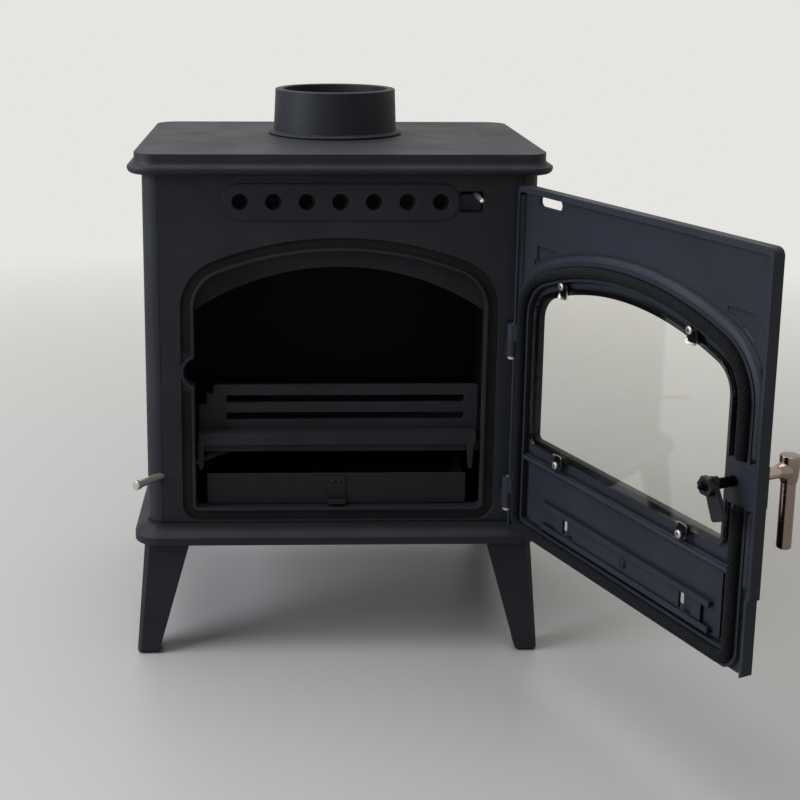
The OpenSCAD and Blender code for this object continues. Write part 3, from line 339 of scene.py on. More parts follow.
@dataclass(frozen=True)
class PlatedSteel(Finish):
    """Zinc-plated steel: bright, with a fine crystalline bloom that dulls it in patches."""

    bloom: str = "#a7a39b"
    bloom_mm: float = 2.5
    constants: ClassVar[dict[str, float]] = {"Metallic": 1.0}

    def surface(self, tree: bpy.types.NodeTree, place: Socket) -> dict[str, Socket]:
        """Draws the bloom.

        Args:
            tree: Tree of the material.
            place: Where on the object a point lies.

        Returns:
            What goes into each socket of the shader.
        """
        cloud = {"Vector": place, "Scale": per_metre(self.bloom_mm), "Detail": 4.0}
        bloom = add_node(tree, "TexNoise", cloud).outputs["Fac"]
        colours = {MIX_SHARE: bloom, MIX_FIRST: linear(self.colour), MIX_SECOND: linear(self.bloom)}
        rough = {"Value": bloom, **MIDDLE, "To Min": self.roughness - 0.08, "To Max": self.roughness + 0.12}
        return {
            "Base Color": add_node(tree, "Mix", colours, data_type="RGBA").outputs[MIX_RESULT],
            "Roughness": add_node(tree, "MapRange", rough).outputs["Result"],
        }


@dataclass(frozen=True)
class TurnedSteel(Finish):
    """Turned and polished steel: fine rings round the bar, and faint warm clouds of painted reflection."""

    warm_reflection: str = "#8a7168"
    warm_reflection_mm: float = 26.0
    ring_mm: float = 0.9
    ring_depth_mm: float = 0.02
    constants: ClassVar[dict[str, float]] = {"Metallic": 1.0}

    def surface(self, tree: bpy.types.NodeTree, place: Socket) -> dict[str, Socket]:
        """Draws the painted warm reflection and the turning marks.

        Args:
            tree: Tree of the material.
            place: Where on the object a point lies.

        Returns:
            What goes into each socket of the shader.
        """
        # Turning marks are some 0.1 mm apart, too fine to show, so they are drawn coarser
        up = {0: place, 1: Vector((0.0, 0.0, 1.0))}
        height = add_node(tree, "VectorMath", up, operation="DOT_PRODUCT").outputs["Value"]
        marks = {"W": height, "Scale": per_metre(self.ring_mm), "Detail": 2.0}
        rings = add_node(tree, "TexNoise", marks, noise_dimensions="1D").outputs["Fac"]
        # Painted reflection: warm clouds stand in for the room reflected in the polished steel
        cloud = {"Vector": place, "Scale": per_metre(self.warm_reflection_mm), "Detail": 2.0}
        warm_reflection = add_node(tree, "TexNoise", cloud).outputs["Fac"]
        colours = {MIX_SHARE: warm_reflection, MIX_FIRST: linear(self.colour), MIX_SECOND: linear(self.warm_reflection)}
        rough = {"Value": rings, **MIDDLE, "To Min": self.roughness - 0.05, "To Max": self.roughness + 0.1}
        bump = {"Height": rings, "Distance": self.ring_depth_mm * MM, "Strength": 0.5}
        return {
            "Base Color": add_node(tree, "Mix", colours, data_type="RGBA").outputs[MIX_RESULT],
            "Roughness": add_node(tree, "MapRange", rough).outputs["Result"],
            "Normal": add_node(tree, "Bump", bump).outputs["Normal"],
        }


@dataclass(frozen=True)
class SpindleSteel(Finish):
    """A bar that is polished outside the door and blackened inside it, where the fire's smoke reaches."""

    smoked: str = "#0c0c0e"
    change_mm: float = 4.0
    mark_mm: float = 1.2
    mark_depth_mm: float = 0.02
    constants: ClassVar[dict[str, float]] = {"Metallic": 1.0}

    def surface(self, tree: bpy.types.NodeTree, place: Socket) -> dict[str, Socket]:
        """Draws the bar's change at the outer face of the door, and its fine marks.

        Args:
            tree: Tree of the material.
            place: Where on the object a point lies.

        Returns:
            What goes into each socket of the shader.
        """
        through = {0: place, 1: DOOR.inward()}
        depth = add_node(tree, "VectorMath", through, operation="DOT_PRODUCT").outputs["Value"]
        face = DOOR.spot(0.0, DOOR.outer_t, 0.0).dot(DOOR.inward())
        change = {"Value": depth, "From Min": face - self.change_mm * MM, "From Max": face}
        share = add_node(tree, "MapRange", change).outputs["Result"]
        colours = {MIX_SHARE: share, MIX_FIRST: linear(self.colour), MIX_SECOND: linear(self.smoked)}
        rough = {**change, "To Min": self.roughness, "To Max": self.roughness + 0.3}
        marks = {"Vector": place, "Scale": per_metre(self.mark_mm), "Detail": 2.0}
        height = add_node(tree, "TexNoise", marks).outputs["Fac"]
        bump = {"Height": height, "Distance": self.mark_depth_mm * MM, "Strength": 1.0}
        return {
            "Base Color": add_node(tree, "Mix", colours, data_type="RGBA").outputs[MIX_RESULT],
            "Roughness": add_node(tree, "MapRange", rough).outputs["Result"],
            "Normal": add_node(tree, "Bump", bump).outputs["Normal"],
        }


@dataclass(frozen=True)
class SpringSteel(Finish):
    """Blackened spring steel whose bent-up edges carry a painted highlight."""

    bright: str = "#cfcdc8"
    rub_and_highlight_mm: float = 3.0
    highlight_range: tuple[float, float] = (0.55, 1.1)
    constants: ClassVar[dict[str, float]] = {"Metallic": 1.0}

    def surface(self, tree: bpy.types.NodeTree, place: Socket) -> dict[str, Socket]:
        """Draws the painted highlight on the bent-up edges, reading from the mesh how much of it each point
        has.

        Args:
            tree: Tree of the material.
            place: Where on the object a point lies.

        Returns:
            What goes into each socket of the shader.
        """
        # Painted highlight: the share of bright colour on each point, read from the mesh and made patchy by a
        # noise
        wear_and_highlight = add_node(tree, "Attribute", attribute_name=RIM_HIGHLIGHT).outputs["Fac"]
        cloud = {"Vector": place, "Scale": per_metre(self.rub_and_highlight_mm), "Detail": 4.0}
        rub_and_highlight = add_node(tree, "TexNoise", cloud).outputs["Fac"]
        uneven = {"Value": rub_and_highlight, **MIDDLE, "To Min": self.highlight_range[0], "To Max": self.highlight_range[1]}
        both = {0: wear_and_highlight, 1: add_node(tree, "MapRange", uneven).outputs["Result"]}
        patchy = add_node(tree, "Math", both, operation="MULTIPLY").outputs[0]
        colours = {MIX_SHARE: patchy, MIX_FIRST: linear(self.colour), MIX_SECOND: linear(self.bright)}
        rough = {"Value": wear_and_highlight, **MIDDLE, "To Min": self.roughness + 0.15, "To Max": self.roughness}
        return {
            "Base Color": add_node(tree, "Mix", colours, data_type="RGBA").outputs[MIX_RESULT],
            "Roughness": add_node(tree, "MapRange", rough).outputs["Result"],
        }


@dataclass(frozen=True)
class FibreRope(Finish):
    """Braided black glass-fibre yarn: matt, with the yarn's fine lay and a few frayed pale ends."""

    frayed: str = "#1c1d20"
    fray_mm: float = 2.2
    fray_range: tuple[float, float] = (0.5, 0.8)
    yarn_mm: float = 0.9
    yarn_depth_mm: float = 0.25
    constants: ClassVar[dict[str, float]] = {
        "Sheen Weight": 0.02, "Sheen Roughness": 0.5, "Specular IOR Level": 0.15,
    }

    def surface(self, tree: bpy.types.NodeTree, place: Socket) -> dict[str, Socket]:
        """Draws the yarn's lay and the frayed ends.

        Args:
            tree: Tree of the material.
            place: Where on the object a point lies.

        Returns:
            What goes into each socket of the shader.
        """
        cloud = {"Vector": place, "Scale": per_metre(self.fray_mm), "Detail": 4.0}
        ends = add_node(tree, "TexNoise", cloud).outputs["Fac"]
        fray = {"Value": ends, "From Min": self.fray_range[0], "From Max": self.fray_range[1]}
        share = add_node(tree, "MapRange", fray).outputs["Result"]
        colours = {MIX_SHARE: share, MIX_FIRST: linear(self.colour), MIX_SECOND: linear(self.frayed)}
        lay = {"Vector": place, "Scale": per_metre(self.yarn_mm), "Detail": 3.0}
        height = add_node(tree, "TexNoise", lay).outputs["Fac"]
        bump = {"Height": height, "Distance": self.yarn_depth_mm * MM, "Strength": 0.8}
        return {
            "Base Color": add_node(tree, "Mix", colours, data_type="RGBA").outputs[MIX_RESULT],
            "Normal": add_node(tree, "Bump", bump).outputs["Normal"],
        }


@dataclass(frozen=True)
class FireBrick(Finish):
    """Pressed fire brick, sooted in clouds: open pores and a sandy face."""

    soot_and_shade: str = "#0b0b0b"
    cloud_mm: float = 45.0
    cloud_range: tuple[float, float] = (0.25, 0.6)
    pore_mm: float = 2.4
    pore_depth_mm: float = 0.5

    def surface(self, tree: bpy.types.NodeTree, place: Socket) -> dict[str, Socket]:
        """Draws the clouds of soot and the pores.

        Args:
            tree: Tree of the material.
            place: Where on the object a point lies.

        Returns:
            What goes into each socket of the shader.
        """
        cloud = {"Vector": place, "Scale": per_metre(self.cloud_mm), "Detail": 4.0}
        smoke = add_node(tree, "TexNoise", cloud).outputs["Fac"]
        sooted = {"Value": smoke, "From Min": self.cloud_range[0], "From Max": self.cloud_range[1]}
        share = add_node(tree, "MapRange", sooted).outputs["Result"]
        colours = {MIX_SHARE: share, MIX_FIRST: linear(self.colour), MIX_SECOND: linear(self.soot_and_shade)}
        pores = {"Vector": place, "Scale": per_metre(self.pore_mm), "Detail": 4.0}
        height = add_node(tree, "TexNoise", pores).outputs["Fac"]
        bump = {"Height": height, "Distance": self.pore_depth_mm * MM, "Strength": 0.9}
        return {
            "Base Color": add_node(tree, "Mix", colours, data_type="RGBA").outputs[MIX_RESULT],
            "Normal": add_node(tree, "Bump", bump).outputs["Normal"],
        }


@dataclass(frozen=True)
class HeatGlass(Finish):
    """Heat-proof glass ceramic: clear, and a little dulled by handling in broad clouds."""

    film_mm: float = 90.0
    film_rough: float = 0.035
    constants: ClassVar[dict[str, float]] = {"Transmission Weight": 1.0, "IOR": 1.5}

    def surface(self, tree: bpy.types.NodeTree, place: Socket) -> dict[str, Socket]:
        """Draws the film.

        Args:
            tree: Tree of the material.
            place: Where on the object a point lies.

        Returns:
            What goes into each socket of the shader.
        """
        cloud = {"Vector": place, "Scale": per_metre(self.film_mm), "Detail": 3.0}
        film = add_node(tree, "TexNoise", cloud).outputs["Fac"]
        rough = {"Value": film, **MIDDLE, "To Max": self.film_rough}
        return {"Roughness": add_node(tree, "MapRange", rough).outputs["Result"]}


@dataclass(frozen=True)
class PaleFloor(Finish):
    """A pale smooth floor, a little uneven in its gloss."""

    patch_mm: float = 400.0

    def surface(self, tree: bpy.types.NodeTree, place: Socket) -> dict[str, Socket]:
        """Draws the uneven gloss.

        Args:
            tree: Tree of the material.
            place: Where on the object a point lies.

        Returns:
            What goes into each socket of the shader.
        """
        cloud = {"Vector": place, "Scale": per_metre(self.patch_mm), "Detail": 2.0}
        patch = {"Value": add_node(tree, "TexNoise", cloud).outputs["Fac"], **MIDDLE}
        rough = {**patch, "To Min": self.roughness - 0.03, "To Max": self.roughness + 0.05}
        return {"Roughness": add_node(tree, "MapRange", rough).outputs["Result"]}


# Black with a hint of blue, dull as slate
IRON = StovePaint("matt_stove_paint_on_sand_cast_iron", "#15171c", 0.58)
# The same paint a shade bluer and paler, where the light of the room falls on it
IRON_INSIDE = StovePaint("matt_stove_paint_inside_the_door", "#191c23", 0.54, wear_and_highlight="#21252e")
# Painted light: a paler copy of the paint, for the light that falls on the firebox parts from the front;
# coarser to the eye
FIREBOX = StovePaint("lit_copy_of_stove_paint_in_the_firebox", "#17181b", 0.7, wear_and_highlight="#1e1f23", grain_depth_mm=0.2)
# Deep black, with no gloss left: painted shade for the deep groove, over the soot of the rope
GROOVE_SHADE_AND_SOOT = StovePaint("painted_shade_and_soot_under_the_rope", "#060607", 0.8, wear_and_highlight="#0a0a0b")
# Smooth black with the faintest sheen
SHEET = SheetSteel("painted_folded_sheet_steel", "#0a0b0d", 0.6)
# Soft silver grey
PLATED = PlatedSteel("zinc_plated_steel", "#a3a29e", 0.42)
# Bright, with a brownish painted reflection of the room
POLISHED = TurnedSteel("turned_polished_steel", "#877e79", 0.18)
# Bright where the handle sits, black where the fire's smoke reaches
SHANK = SpindleSteel("spindle_polished_outside_the_door", "#a8978e", 0.2)
# Oily black, with a painted highlight on the bent-up rims
CLIP = SpringSteel("blackened_spring_steel", "#141416", 0.3)
# Smoother and glossier than the castings
BLACK_STEEL = StovePaint(
    "blackened_steel", "#0f1013", 0.42, wear_and_highlight="#17181c", grain_depth_mm=0.03, swell_depth_mm=0.05
)
# Dusty black yarn
ROPE = FibreRope("braided_black_glass_fibre", "#08090a", 0.9)
# Brown clay under soot
BRICK = FireBrick("sooted_fire_brick", "#1a1714", 0.9)
# Gold-grey flakes under soot
BOARD = FireBrick("pressed_vermiculite_board", "#332e27", 0.9)
# Clear, very slightly warm
GLASS = HeatGlass("clear_glass_ceramic", "#fbfaf5", 0.02)


# ------------------------------------------------------------------ meshes


@contextmanager
def edited(mesh: bpy.types.Mesh) -> Iterator[bmesh.types.BMesh]:
    """Opens a mesh for editing, and writes it back at the end.

    Args:
        mesh: The mesh.

    Yields:
        The mesh as it is edited.
    """
    work = bmesh.new()
    work.from_mesh(mesh)
    yield work
    work.to_mesh(mesh)
    work.free()


def add_object(name: str, data: bpy.types.ID) -> bpy.types.Object:
    """Puts a mesh, a camera or a lamp into the scene.

    Args:
        name: Name of the object.
        data: What it holds.

    Returns:
        The object, at the origin.
    """
    made = bpy.data.objects.new(name, data)
    bpy.context.scene.collection.objects.link(made)
    return made


def mesh_from_grid(name: str, points: np.ndarray, wrap: bool = True) -> bpy.types.Object:
    """Makes one surface from a grid of points, each cell a quad.

    Args:
        name: Name of the piece.
        points: Rows by columns of points, in metres.
        wrap: Whether the last column joins the first.

    Returns:
        The piece, at the origin.
    """
    rows, columns = points.shape[:2]
    row = np.arange(rows - 1)[:, None] * columns
    column = np.arange(columns if wrap else columns - 1)[None, :]
    beside = (column + 1) % columns
    corners = np.broadcast_arrays(row + column, row + columns + column, row + columns + beside, row + beside)
    faces = np.stack(corners, axis=-1).reshape(-1, 4)
    mesh = bpy.data.meshes.new(name)
    mesh.from_pydata(points.reshape(-1, 3), [], faces)
    mesh.polygons.foreach_set("use_smooth", np.ones(len(faces), bool))
    mesh.update()
    return add_object(name, mesh)


def close_and_turn_out(piece: bpy.types.Object, sharp_degrees: float) -> bpy.types.Object:
    """Merges doubled points, turns the faces outwards and marks the sharp edges.

    Args:
        piece: A closed shape.
        sharp_degrees: Angle past which an edge is sharp.

    Returns:
        The piece.
    """
    with edited(piece.data) as work:
        bmesh.ops.remove_doubles(work, verts=work.verts, dist=1e-6)
        bmesh.ops.dissolve_degenerate(work, edges=work.edges, dist=1e-7)
        bmesh.ops.recalc_face_normals(work, faces=work.faces)
    piece.data.set_sharp_from_angle(angle=math.radians(sharp_degrees))
    return piece


def join(pieces: list[bpy.types.Object], name: str) -> bpy.types.Object:
    """Joins several pieces into a new one.

    Args:
        pieces: Pieces at the origin.
        name: Name of the joined piece.

    Returns:
        The joined piece.
    """
    work = bmesh.new()
    for piece in pieces:
        work.from_mesh(piece.data)
        bpy.data.objects.remove(piece)
    mesh = bpy.data.meshes.new(name)
    work.to_mesh(mesh)
    work.free()
    return add_object(name, mesh)


def dress(
    piece: bpy.types.Object, material: bpy.types.Material, slot: Slot, body: Body, *nodes: str
) -> bpy.types.Object:
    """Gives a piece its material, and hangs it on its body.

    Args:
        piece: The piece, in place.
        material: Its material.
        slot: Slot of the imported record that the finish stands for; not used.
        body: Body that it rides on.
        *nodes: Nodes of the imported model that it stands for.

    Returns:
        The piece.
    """
    piece.data.materials.clear()
    piece.data.materials.append(material)
    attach(piece, body.value)
    if nodes:
        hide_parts(*nodes)
    LOG.info("%s: %d faces on %s", piece.name, len(piece.data.polygons), body.value)
    return piece


@dataclass(frozen=True)
class SoftCasting:
    """A casting with the small round edges that a sand mould leaves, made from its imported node."""

    node: str
    body: Body
    edge_mm: float = 1.0
    slot: Slot = Slot.IRON
    segments: int = 2
    least_angle: float = 34.0
    least_mm: float = 0.12
    merge_mm: float = 0.002
    sliver_mm: float = 0.02
    flat_angle: float = 0.4
    side_share: float = 0.42
    clear_sine: float = 0.5
    straight_cosine: float = 0.8

    def carve(self, mesh: bpy.types.Mesh) -> bpy.types.Mesh:
        """Changes the shape before its edges are rounded; most castings need no change."""
        return mesh

    @staticmethod
    def run(edge: bmesh.types.BMEdge) -> Vector:
        """Measures an edge from its first corner to its second."""
        return edge.verts[1].co - edge.verts[0].co

    def room(self, edge: bmesh.types.BMEdge) -> float:
        """Finds how far an edge may draw back: just under half of each side edge at a clear angle to it.

        Args:
            edge: Edge of the casting.

        Returns:
            The room, in metres, at most the full rounding.
        """
        room = self.edge_mm * MM
        along = self.run(edge).normalized()
        for loop in edge.link_loops:
            for beside in (loop.link_loop_prev, loop.link_loop_next):
                other = self.run(beside.edge)
                across = other.cross(along).length
                if across > self.clear_sine * other.length:
                    room = min(room, self.side_share * across)
        return room

    def share_out(self, work: bmesh.types.BMesh) -> None:
        """Gives all edges that run smoothly on from one another one rounding, the least they have room for.

        Args:
            work: The casting, whose edges get their share of the full rounding.
        """
        share = work.edges.layers.float.new("bevel_weight_edge")
        least = math.radians(self.least_angle)
        sharp = {e for e in work.edges if len(e.link_faces) == 2 and e.calc_face_angle(0.0) > least}
        while sharp:
            stack = [sharp.pop()]
            chain = []
            while stack:
                edge = stack.pop()
                chain.append(edge)
                along = self.run(edge).normalized()
                for other in {o for v in edge.verts for o in v.link_edges if o in sharp}:
                    if abs(self.run(other).normalized().dot(along)) > self.straight_cosine:
                        sharp.discard(other)
                        stack.append(other)
            room = min(self.room(edge) for edge in chain)
            if room > self.least_mm * MM:
                for edge in chain:
                    edge[share] = room / (self.edge_mm * MM)

    def simplified(self) -> bpy.types.Mesh:
        """Copies the node, carves it and joins its flat triangles.

        Returns:
            The mesh, with its edges' shares of the rounding.
        """
        mesh = frame["nodes"][self.node].data.copy()
        with edited(mesh) as work:
            bmesh.ops.remove_doubles(work, verts=work.verts, dist=self.merge_mm * MM)
        mesh = self.carve(mesh)
        mesh.name = self.node + "_cast"
        with edited(mesh) as work:
            bmesh.ops.remove_doubles(work, verts=work.verts, dist=self.merge_mm * MM)
            bmesh.ops.dissolve_degenerate(work, edges=work.edges, dist=self.sliver_mm * MM)
            bmesh.ops.dissolve_limit(
                work, angle_limit=math.radians(self.flat_angle), verts=work.verts, edges=work.edges,
                use_dissolve_boundaries=False,
            )
            self.share_out(work)
            for face in work.faces:
                face.smooth = True
        mesh.set_sharp_from_angle(angle=math.radians(self.least_angle))
        return mesh

    def build(self, material: bpy.types.Material) -> bpy.types.Object:
        """Rounds the casting's edges; with an edge of nothing they are left to the paint.

        Args:
            material: Paint of the casting.

        Returns:
            The piece, which replaces the node.
        """
        piece = add_object(self.node + "_cast", self.simplified())
        if self.edge_mm > 0:
            bevel = piece.modifiers.new("round_edges", "BEVEL")
            bevel.width = self.edge_mm * MM
            bevel.segments = self.segments
            bevel.limit_method = "WEIGHT"
            bevel.use_clamp_overlap = True
            bevel.miter_outer = "MITER_SHARP"
        level = piece.modifiers.new("flat_faces_flat", "WEIGHTED_NORMAL")
        level.mode = "FACE_AREA"
        level.weight = 100
        level.keep_sharp = True
        return dress(piece, material, self.slot, self.body, self.node)


# ------------------------------------------------------------------ sub-assemblies


@dataclass(frozen=True)
class Paints:
    """The materials, each made once."""

    iron: bpy.types.Material
    iron_inside: bpy.types.Material
    firebox: bpy.types.Material
    soot_and_shade: bpy.types.Material
    sheet: bpy.types.Material
    plated: bpy.types.Material
    polished: bpy.types.Material
    shank: bpy.types.Material
    clip: bpy.types.Material
    black_steel: bpy.types.Material
    rope: bpy.types.Material
    brick: bpy.types.Material
    board: bpy.types.Material
    glass: bpy.types.Material

    @staticmethod
    def mixed() -> "Paints":
        """Makes every material.

        Returns:
            The set.
        """
        return Paints(
            IRON.material(), IRON_INSIDE.material(), FIREBOX.material(), GROOVE_SHADE_AND_SOOT.material(), SHEET.material(),
            PLATED.material(), POLISHED.material(), SHANK.material(), CLIP.material(), BLACK_STEEL.material(),
            ROPE.material(), BRICK.material(), BOARD.material(), GLASS.material(),
        )


@dataclass(frozen=True)
class DoorArch:
    """The outline that the groove, the rope and the moulding share, on the shut door."""

    half_w: float = 182.5
    foot_z: float = 161.0
    corner_r: float = 20.0
    spring_z: float = 417.0
    shoulder_r: float = 60.0
    top_r: float = 400.0
    boss_low: float = 319.7
    boss_high: float = 364.3
    step_mm: float = 0.85

    def route(self) -> tuple[np.ndarray, np.ndarray]:
        """Goes from the top of the latch boss over the arch and round the foot to the foot of the boss.

        Returns:
            Points step_mm apart in x and z, in millimetres, and the inward direction at each.
        """
        shoulder_x = self.half_w - self.shoulder_r
        centre_z = self.spring_z - math.sqrt((self.top_r - self.shoulder_r) ** 2 - shoulder_x**2)
        turn = math.atan2(self.spring_z - centre_z, shoulder_x)

        def arc(x: float, z: float, radius: float, start: float, end: float) -> np.ndarray:
            """Points of an arc about x and z, from one angle to another."""
            angle = np.linspace(start, end, max(8, int(abs(end - start) * radius / self.step_mm)))
            return np.stack([x + radius * np.cos(angle), z + radius * np.sin(angle)], axis=-1)

        bend_z = self.foot_z + self.corner_r
        bend_x = self.half_w - self.corner_r
        line = np.concatenate([
            np.array([[-self.half_w, self.boss_high], [-self.half_w, self.spring_z]]),
            arc(-shoulder_x, self.spring_z, self.shoulder_r, math.pi, math.pi - turn),
            arc(0.0, centre_z, self.top_r, math.pi - turn, turn),
            arc(shoulder_x, self.spring_z, self.shoulder_r, turn, 0.0),
            np.array([[self.half_w, self.spring_z], [self.half_w, bend_z]]),
            arc(bend_x, bend_z, self.corner_r, 0.0, -math.pi / 2),
            arc(-bend_x, bend_z, self.corner_r, -math.pi / 2, -math.pi),
            np.array([[-self.half_w, bend_z], [-self.half_w, self.boss_low]]),
        ])
        length = np.concatenate([[0.0], np.cumsum(np.hypot(*np.diff(line, axis=0).T))])
        keep = np.concatenate([[True], np.diff(length) > 1e-6])
        line, length = line[keep], length[keep]
        even = np.linspace(0.0, length[-1], int(length[-1] / self.step_mm))
        line = np.stack([np.interp(even, length, line[:, i]) for i in (0, 1)], axis=-1)
        tangent = np.gradient(line, axis=0)
        tangent /= np.linalg.norm(tangent, axis=1)[:, None]
        return line, np.stack([tangent[:, 1], -tangent[:, 0]], axis=-1)

    def swept(
        self, rows: np.ndarray | slice, across: np.ndarray, level: np.ndarray, base: StoveFrame | DoorFrame
    ) -> np.ndarray:
        """Carries a section along a part of the route.

        Args:
            rows: Which points of the route are used.
            across: Distances inwards of the section's points, in millimetres.
            level: Their depths, alike all along or one row for each point of the route.
            base: What places the points.

        Returns:
            Points in metres, a row for each point of the route.
        """
        outline, inward = self.route()
        place = outline[rows, None, :] + inward[rows, None, :] * across[None, :, None]
        return base.place(place[..., 0], level, place[..., 1])


ARCH = DoorArch()


@dataclass(frozen=True)
class DoorCasting(SoftCasting):
    """The door's casting, with the two pockets beside the shoulders of the arch sunk into it."""

    pocket_sides: tuple[tuple[float, float], ...] = ((128.0, 169.0), (-175.0, -134.0))
    pocket_top: float = 499.0
    pocket_depth: float = 2.9
    clear_of_arch: float = 15.5
    draft: float = 0.9
    every: int = 6

    def pocket(self, left: float, right: float) -> bpy.types.Object:
        """Makes the block that leaves one pocket: straight at its top and sides, along the arch below.

        Args:
            left: Least x of the pocket, on the shut door.
            right: Greatest x.

        Returns:
            The block, narrower at the pocket's floor.
        """
        outline, inward = ARCH.route()
        line = outline - inward * self.clear_of_arch
        near = line[(line[:, 0] > left) & (line[:, 0] < right) & (line[:, 1] > ARCH.spring_z)][:: self.every]
        near = near[near[:, 1] < self.pocket_top]
        near = near[np.argsort(near[:, 0])]
        x = np.concatenate([near[:, 0], [near[-1, 0], near[0, 0]]])
        z = np.concatenate([near[:, 1], [self.pocket_top, self.pocket_top]])
        middle = np.array([x.mean(), z.mean()])
        levels = np.array([DOOR.inner_t + 1.0, DOOR.inner_t - self.pocket_depth])[:, None]
        size = np.array([1.0, self.draft])[:, None]
        points = DOOR.place(middle[0] + size * (x - middle[0]), levels, middle[1] + size * (z - middle[1]))
        block = mesh_from_grid("pocket", points)
        with edited(block.data) as work:
            bmesh.ops.holes_fill(work, edges=work.edges, sides=0)
            bmesh.ops.recalc_face_normals(work, faces=work.faces)
        return block

    def carve(self, mesh: bpy.types.Mesh) -> bpy.types.Mesh:
        """Takes the pockets out of the casting.

        Args:
            mesh: The casting.

        Returns:
            The casting with its pockets.
        """
        whole = add_object("whole", mesh)
        blocks = [self.pocket(*side) for side in self.pocket_sides]
        for block in blocks:
            cut = whole.modifiers.new("cut", "BOOLEAN")
            cut.operation = "DIFFERENCE"
            cut.solver = "EXACT"
            cut.object = block
        carved = bpy.data.meshes.new_from_object(whole.evaluated_get(bpy.context.evaluated_depsgraph_get()))
        for used in [whole, *blocks]:
            bpy.data.objects.remove(used)
        return carved


@dataclass(frozen=True)
class ShadedSootyGroove:
    """Lining of rope fibre and soot that the door's rope leaves in the groove of the front plate, painted
    near black for the shade in the deep groove as well.
    """

    width: float = 11.5
    depth: float = 3.0
    clear: float = 0.06
    skin: float = 0.03
    mouth: float = 0.5

    def build(self, material: bpy.types.Material) -> bpy.types.Object:
        """Sweeps the groove's own section, a little inside its walls.

        Args:
            material: The near-black paint of soot and painted shade.

        Returns:
            The lining.
        """
        low, high, floor = self.clear, self.width - self.clear, self.depth - self.clear
        past, under = high + self.skin, floor + self.skin
        across = np.array([low, low, high, high, past, past, low - self.skin, low - self.skin])
        level = np.array([self.mouth, floor, floor, self.mouth, self.mouth, under, under, self.mouth])
        points = ARCH.swept(slice(None), across, level[None, :], STOVE)
        piece = close_and_turn_out(mesh_from_grid("shaded_sooty_groove", points), 30.0)
        return dress(piece, material, Slot.IRON_INSIDE, Body.STOVE)


@dataclass(frozen=True)
class SealingRope:
    """Braided rope in the channel round the door, from one side of the latch boss to the other."""

    inset: float = 5.75
    level_t: float = 4.4
    radius: float = 5.8
    yarns: int = 8
    lay_mm: float = 10.5
    core: float = 0.74
    crossing: float = 4.0
    tip_mm: float = 3.0
    round_points: int = 44

    def build(self, material: bpy.types.Material) -> bpy.types.Object:
        """Sweeps a circle along the route and raises it into a braid.

        Two families of yarns wind opposite ways. Each stands up as the rounded sine of its own phase,
        and the product of the two phases' cosines says which of them lies on top at each crossing.

        Args:
            material: The yarn.

        Returns:
            The rope.
        """
        outline, inward = ARCH.route()
        line = outline + inward * self.inset
        along = np.concatenate([[0.0], np.cumsum(np.hypot(*np.diff(line, axis=0).T))])
        angle = np.linspace(0.0, FULL_TURN, self.round_points, endpoint=False)[None, :]
        turn = self.yarns * angle / FULL_TURN
        wind = along[:, None] / self.lay_mm * self.yarns / 4
        right, left = turn + wind, turn - wind
        over = 0.5 + 0.5 * np.tanh(self.crossing * np.cos(math.pi * right) * np.cos(math.pi * left))
        high_right = np.sqrt(np.abs(np.sin(math.pi * right)))
        high_left = np.sqrt(np.abs(np.sin(math.pi * left)))
        height = over * high_right + (1 - over) * high_left
        radius = self.radius * (self.core + (1 - self.core) * height)
        # Each end draws in to a closed tip
        taper = np.clip(np.minimum(along, along[-1] - along) / self.tip_mm, 0.0, 1.0)
        radius = radius * np.sqrt(1 - (1 - taper[:, None]) ** 2)
        x = line[:, :1] - inward[:, :1] * radius * np.cos(angle)
        z = line[:, 1:] - inward[:, 1:] * radius * np.cos(angle)
        t = self.level_t + radius * np.sin(angle)
        piece = close_and_turn_out(mesh_from_grid("braided_sealing_rope", DOOR.place(x, t, z)), 80.0)
        return dress(piece, material, Slot.ROPE, Body.DOOR, "rope_gasket")


@dataclass(frozen=True)
class ArchMoulding:
    """Round moulding outside the rope channel, over the raised band of the casting."""

    outside: float = 12.0
    inside: float = 3.9
    rise: float = 5.9
    edge: float = 0.7
    foot_below: float = 0.8
    end_mm: float = 6.0
    foot_z: float = 240.0
    points: int = 14

    def build(self, material: bpy.types.Material) -> bpy.types.Object:
        """Sweeps a quarter of an ellipse, steep at its outer edge, along the arch.

        Across the band the height is edge + rise * sqrt(1 - (1 - u)^2), with u from 0 outside to 1 inside.

        Args:
            material: Paint of the door's inside.

        Returns:
            The moulding.
        """
        outline, _ = ARCH.route()
        x, z = outline.T
        past = np.nonzero((x > 0) & (z < self.foot_z))[0][0]
        low_free = np.nonzero((x < 0) & (z > self.foot_z))[0]
        u = np.linspace(0.0, 1.0, self.points)
        slope = -self.outside + (self.outside - self.inside) * u
        across = np.concatenate([[-self.outside], slope, [-self.inside]])
        height = np.concatenate([[0.0], self.edge + self.rise * np.sqrt(1 - (1 - u) ** 2), [0.0]])
        bars = []
        for rows in (np.arange(past), low_free[low_free > past]):
            count = np.arange(len(rows))
            end = np.minimum(count, count[::-1])[:, None] * ARCH.step_mm / self.end_mm
            swell = np.sqrt(1 - (1 - np.clip(end, 0.0, 1.0)) ** 2)
            level = DOOR.inner_t - self.foot_below + swell * height[None, :]
            bars.append(mesh_from_grid("bar", ARCH.swept(rows, across, level, DOOR)))
        piece = close_and_turn_out(join(bars, "arch_moulding"), 60.0)
        return dress(piece, material, Slot.IRON_INSIDE, Body.DOOR)


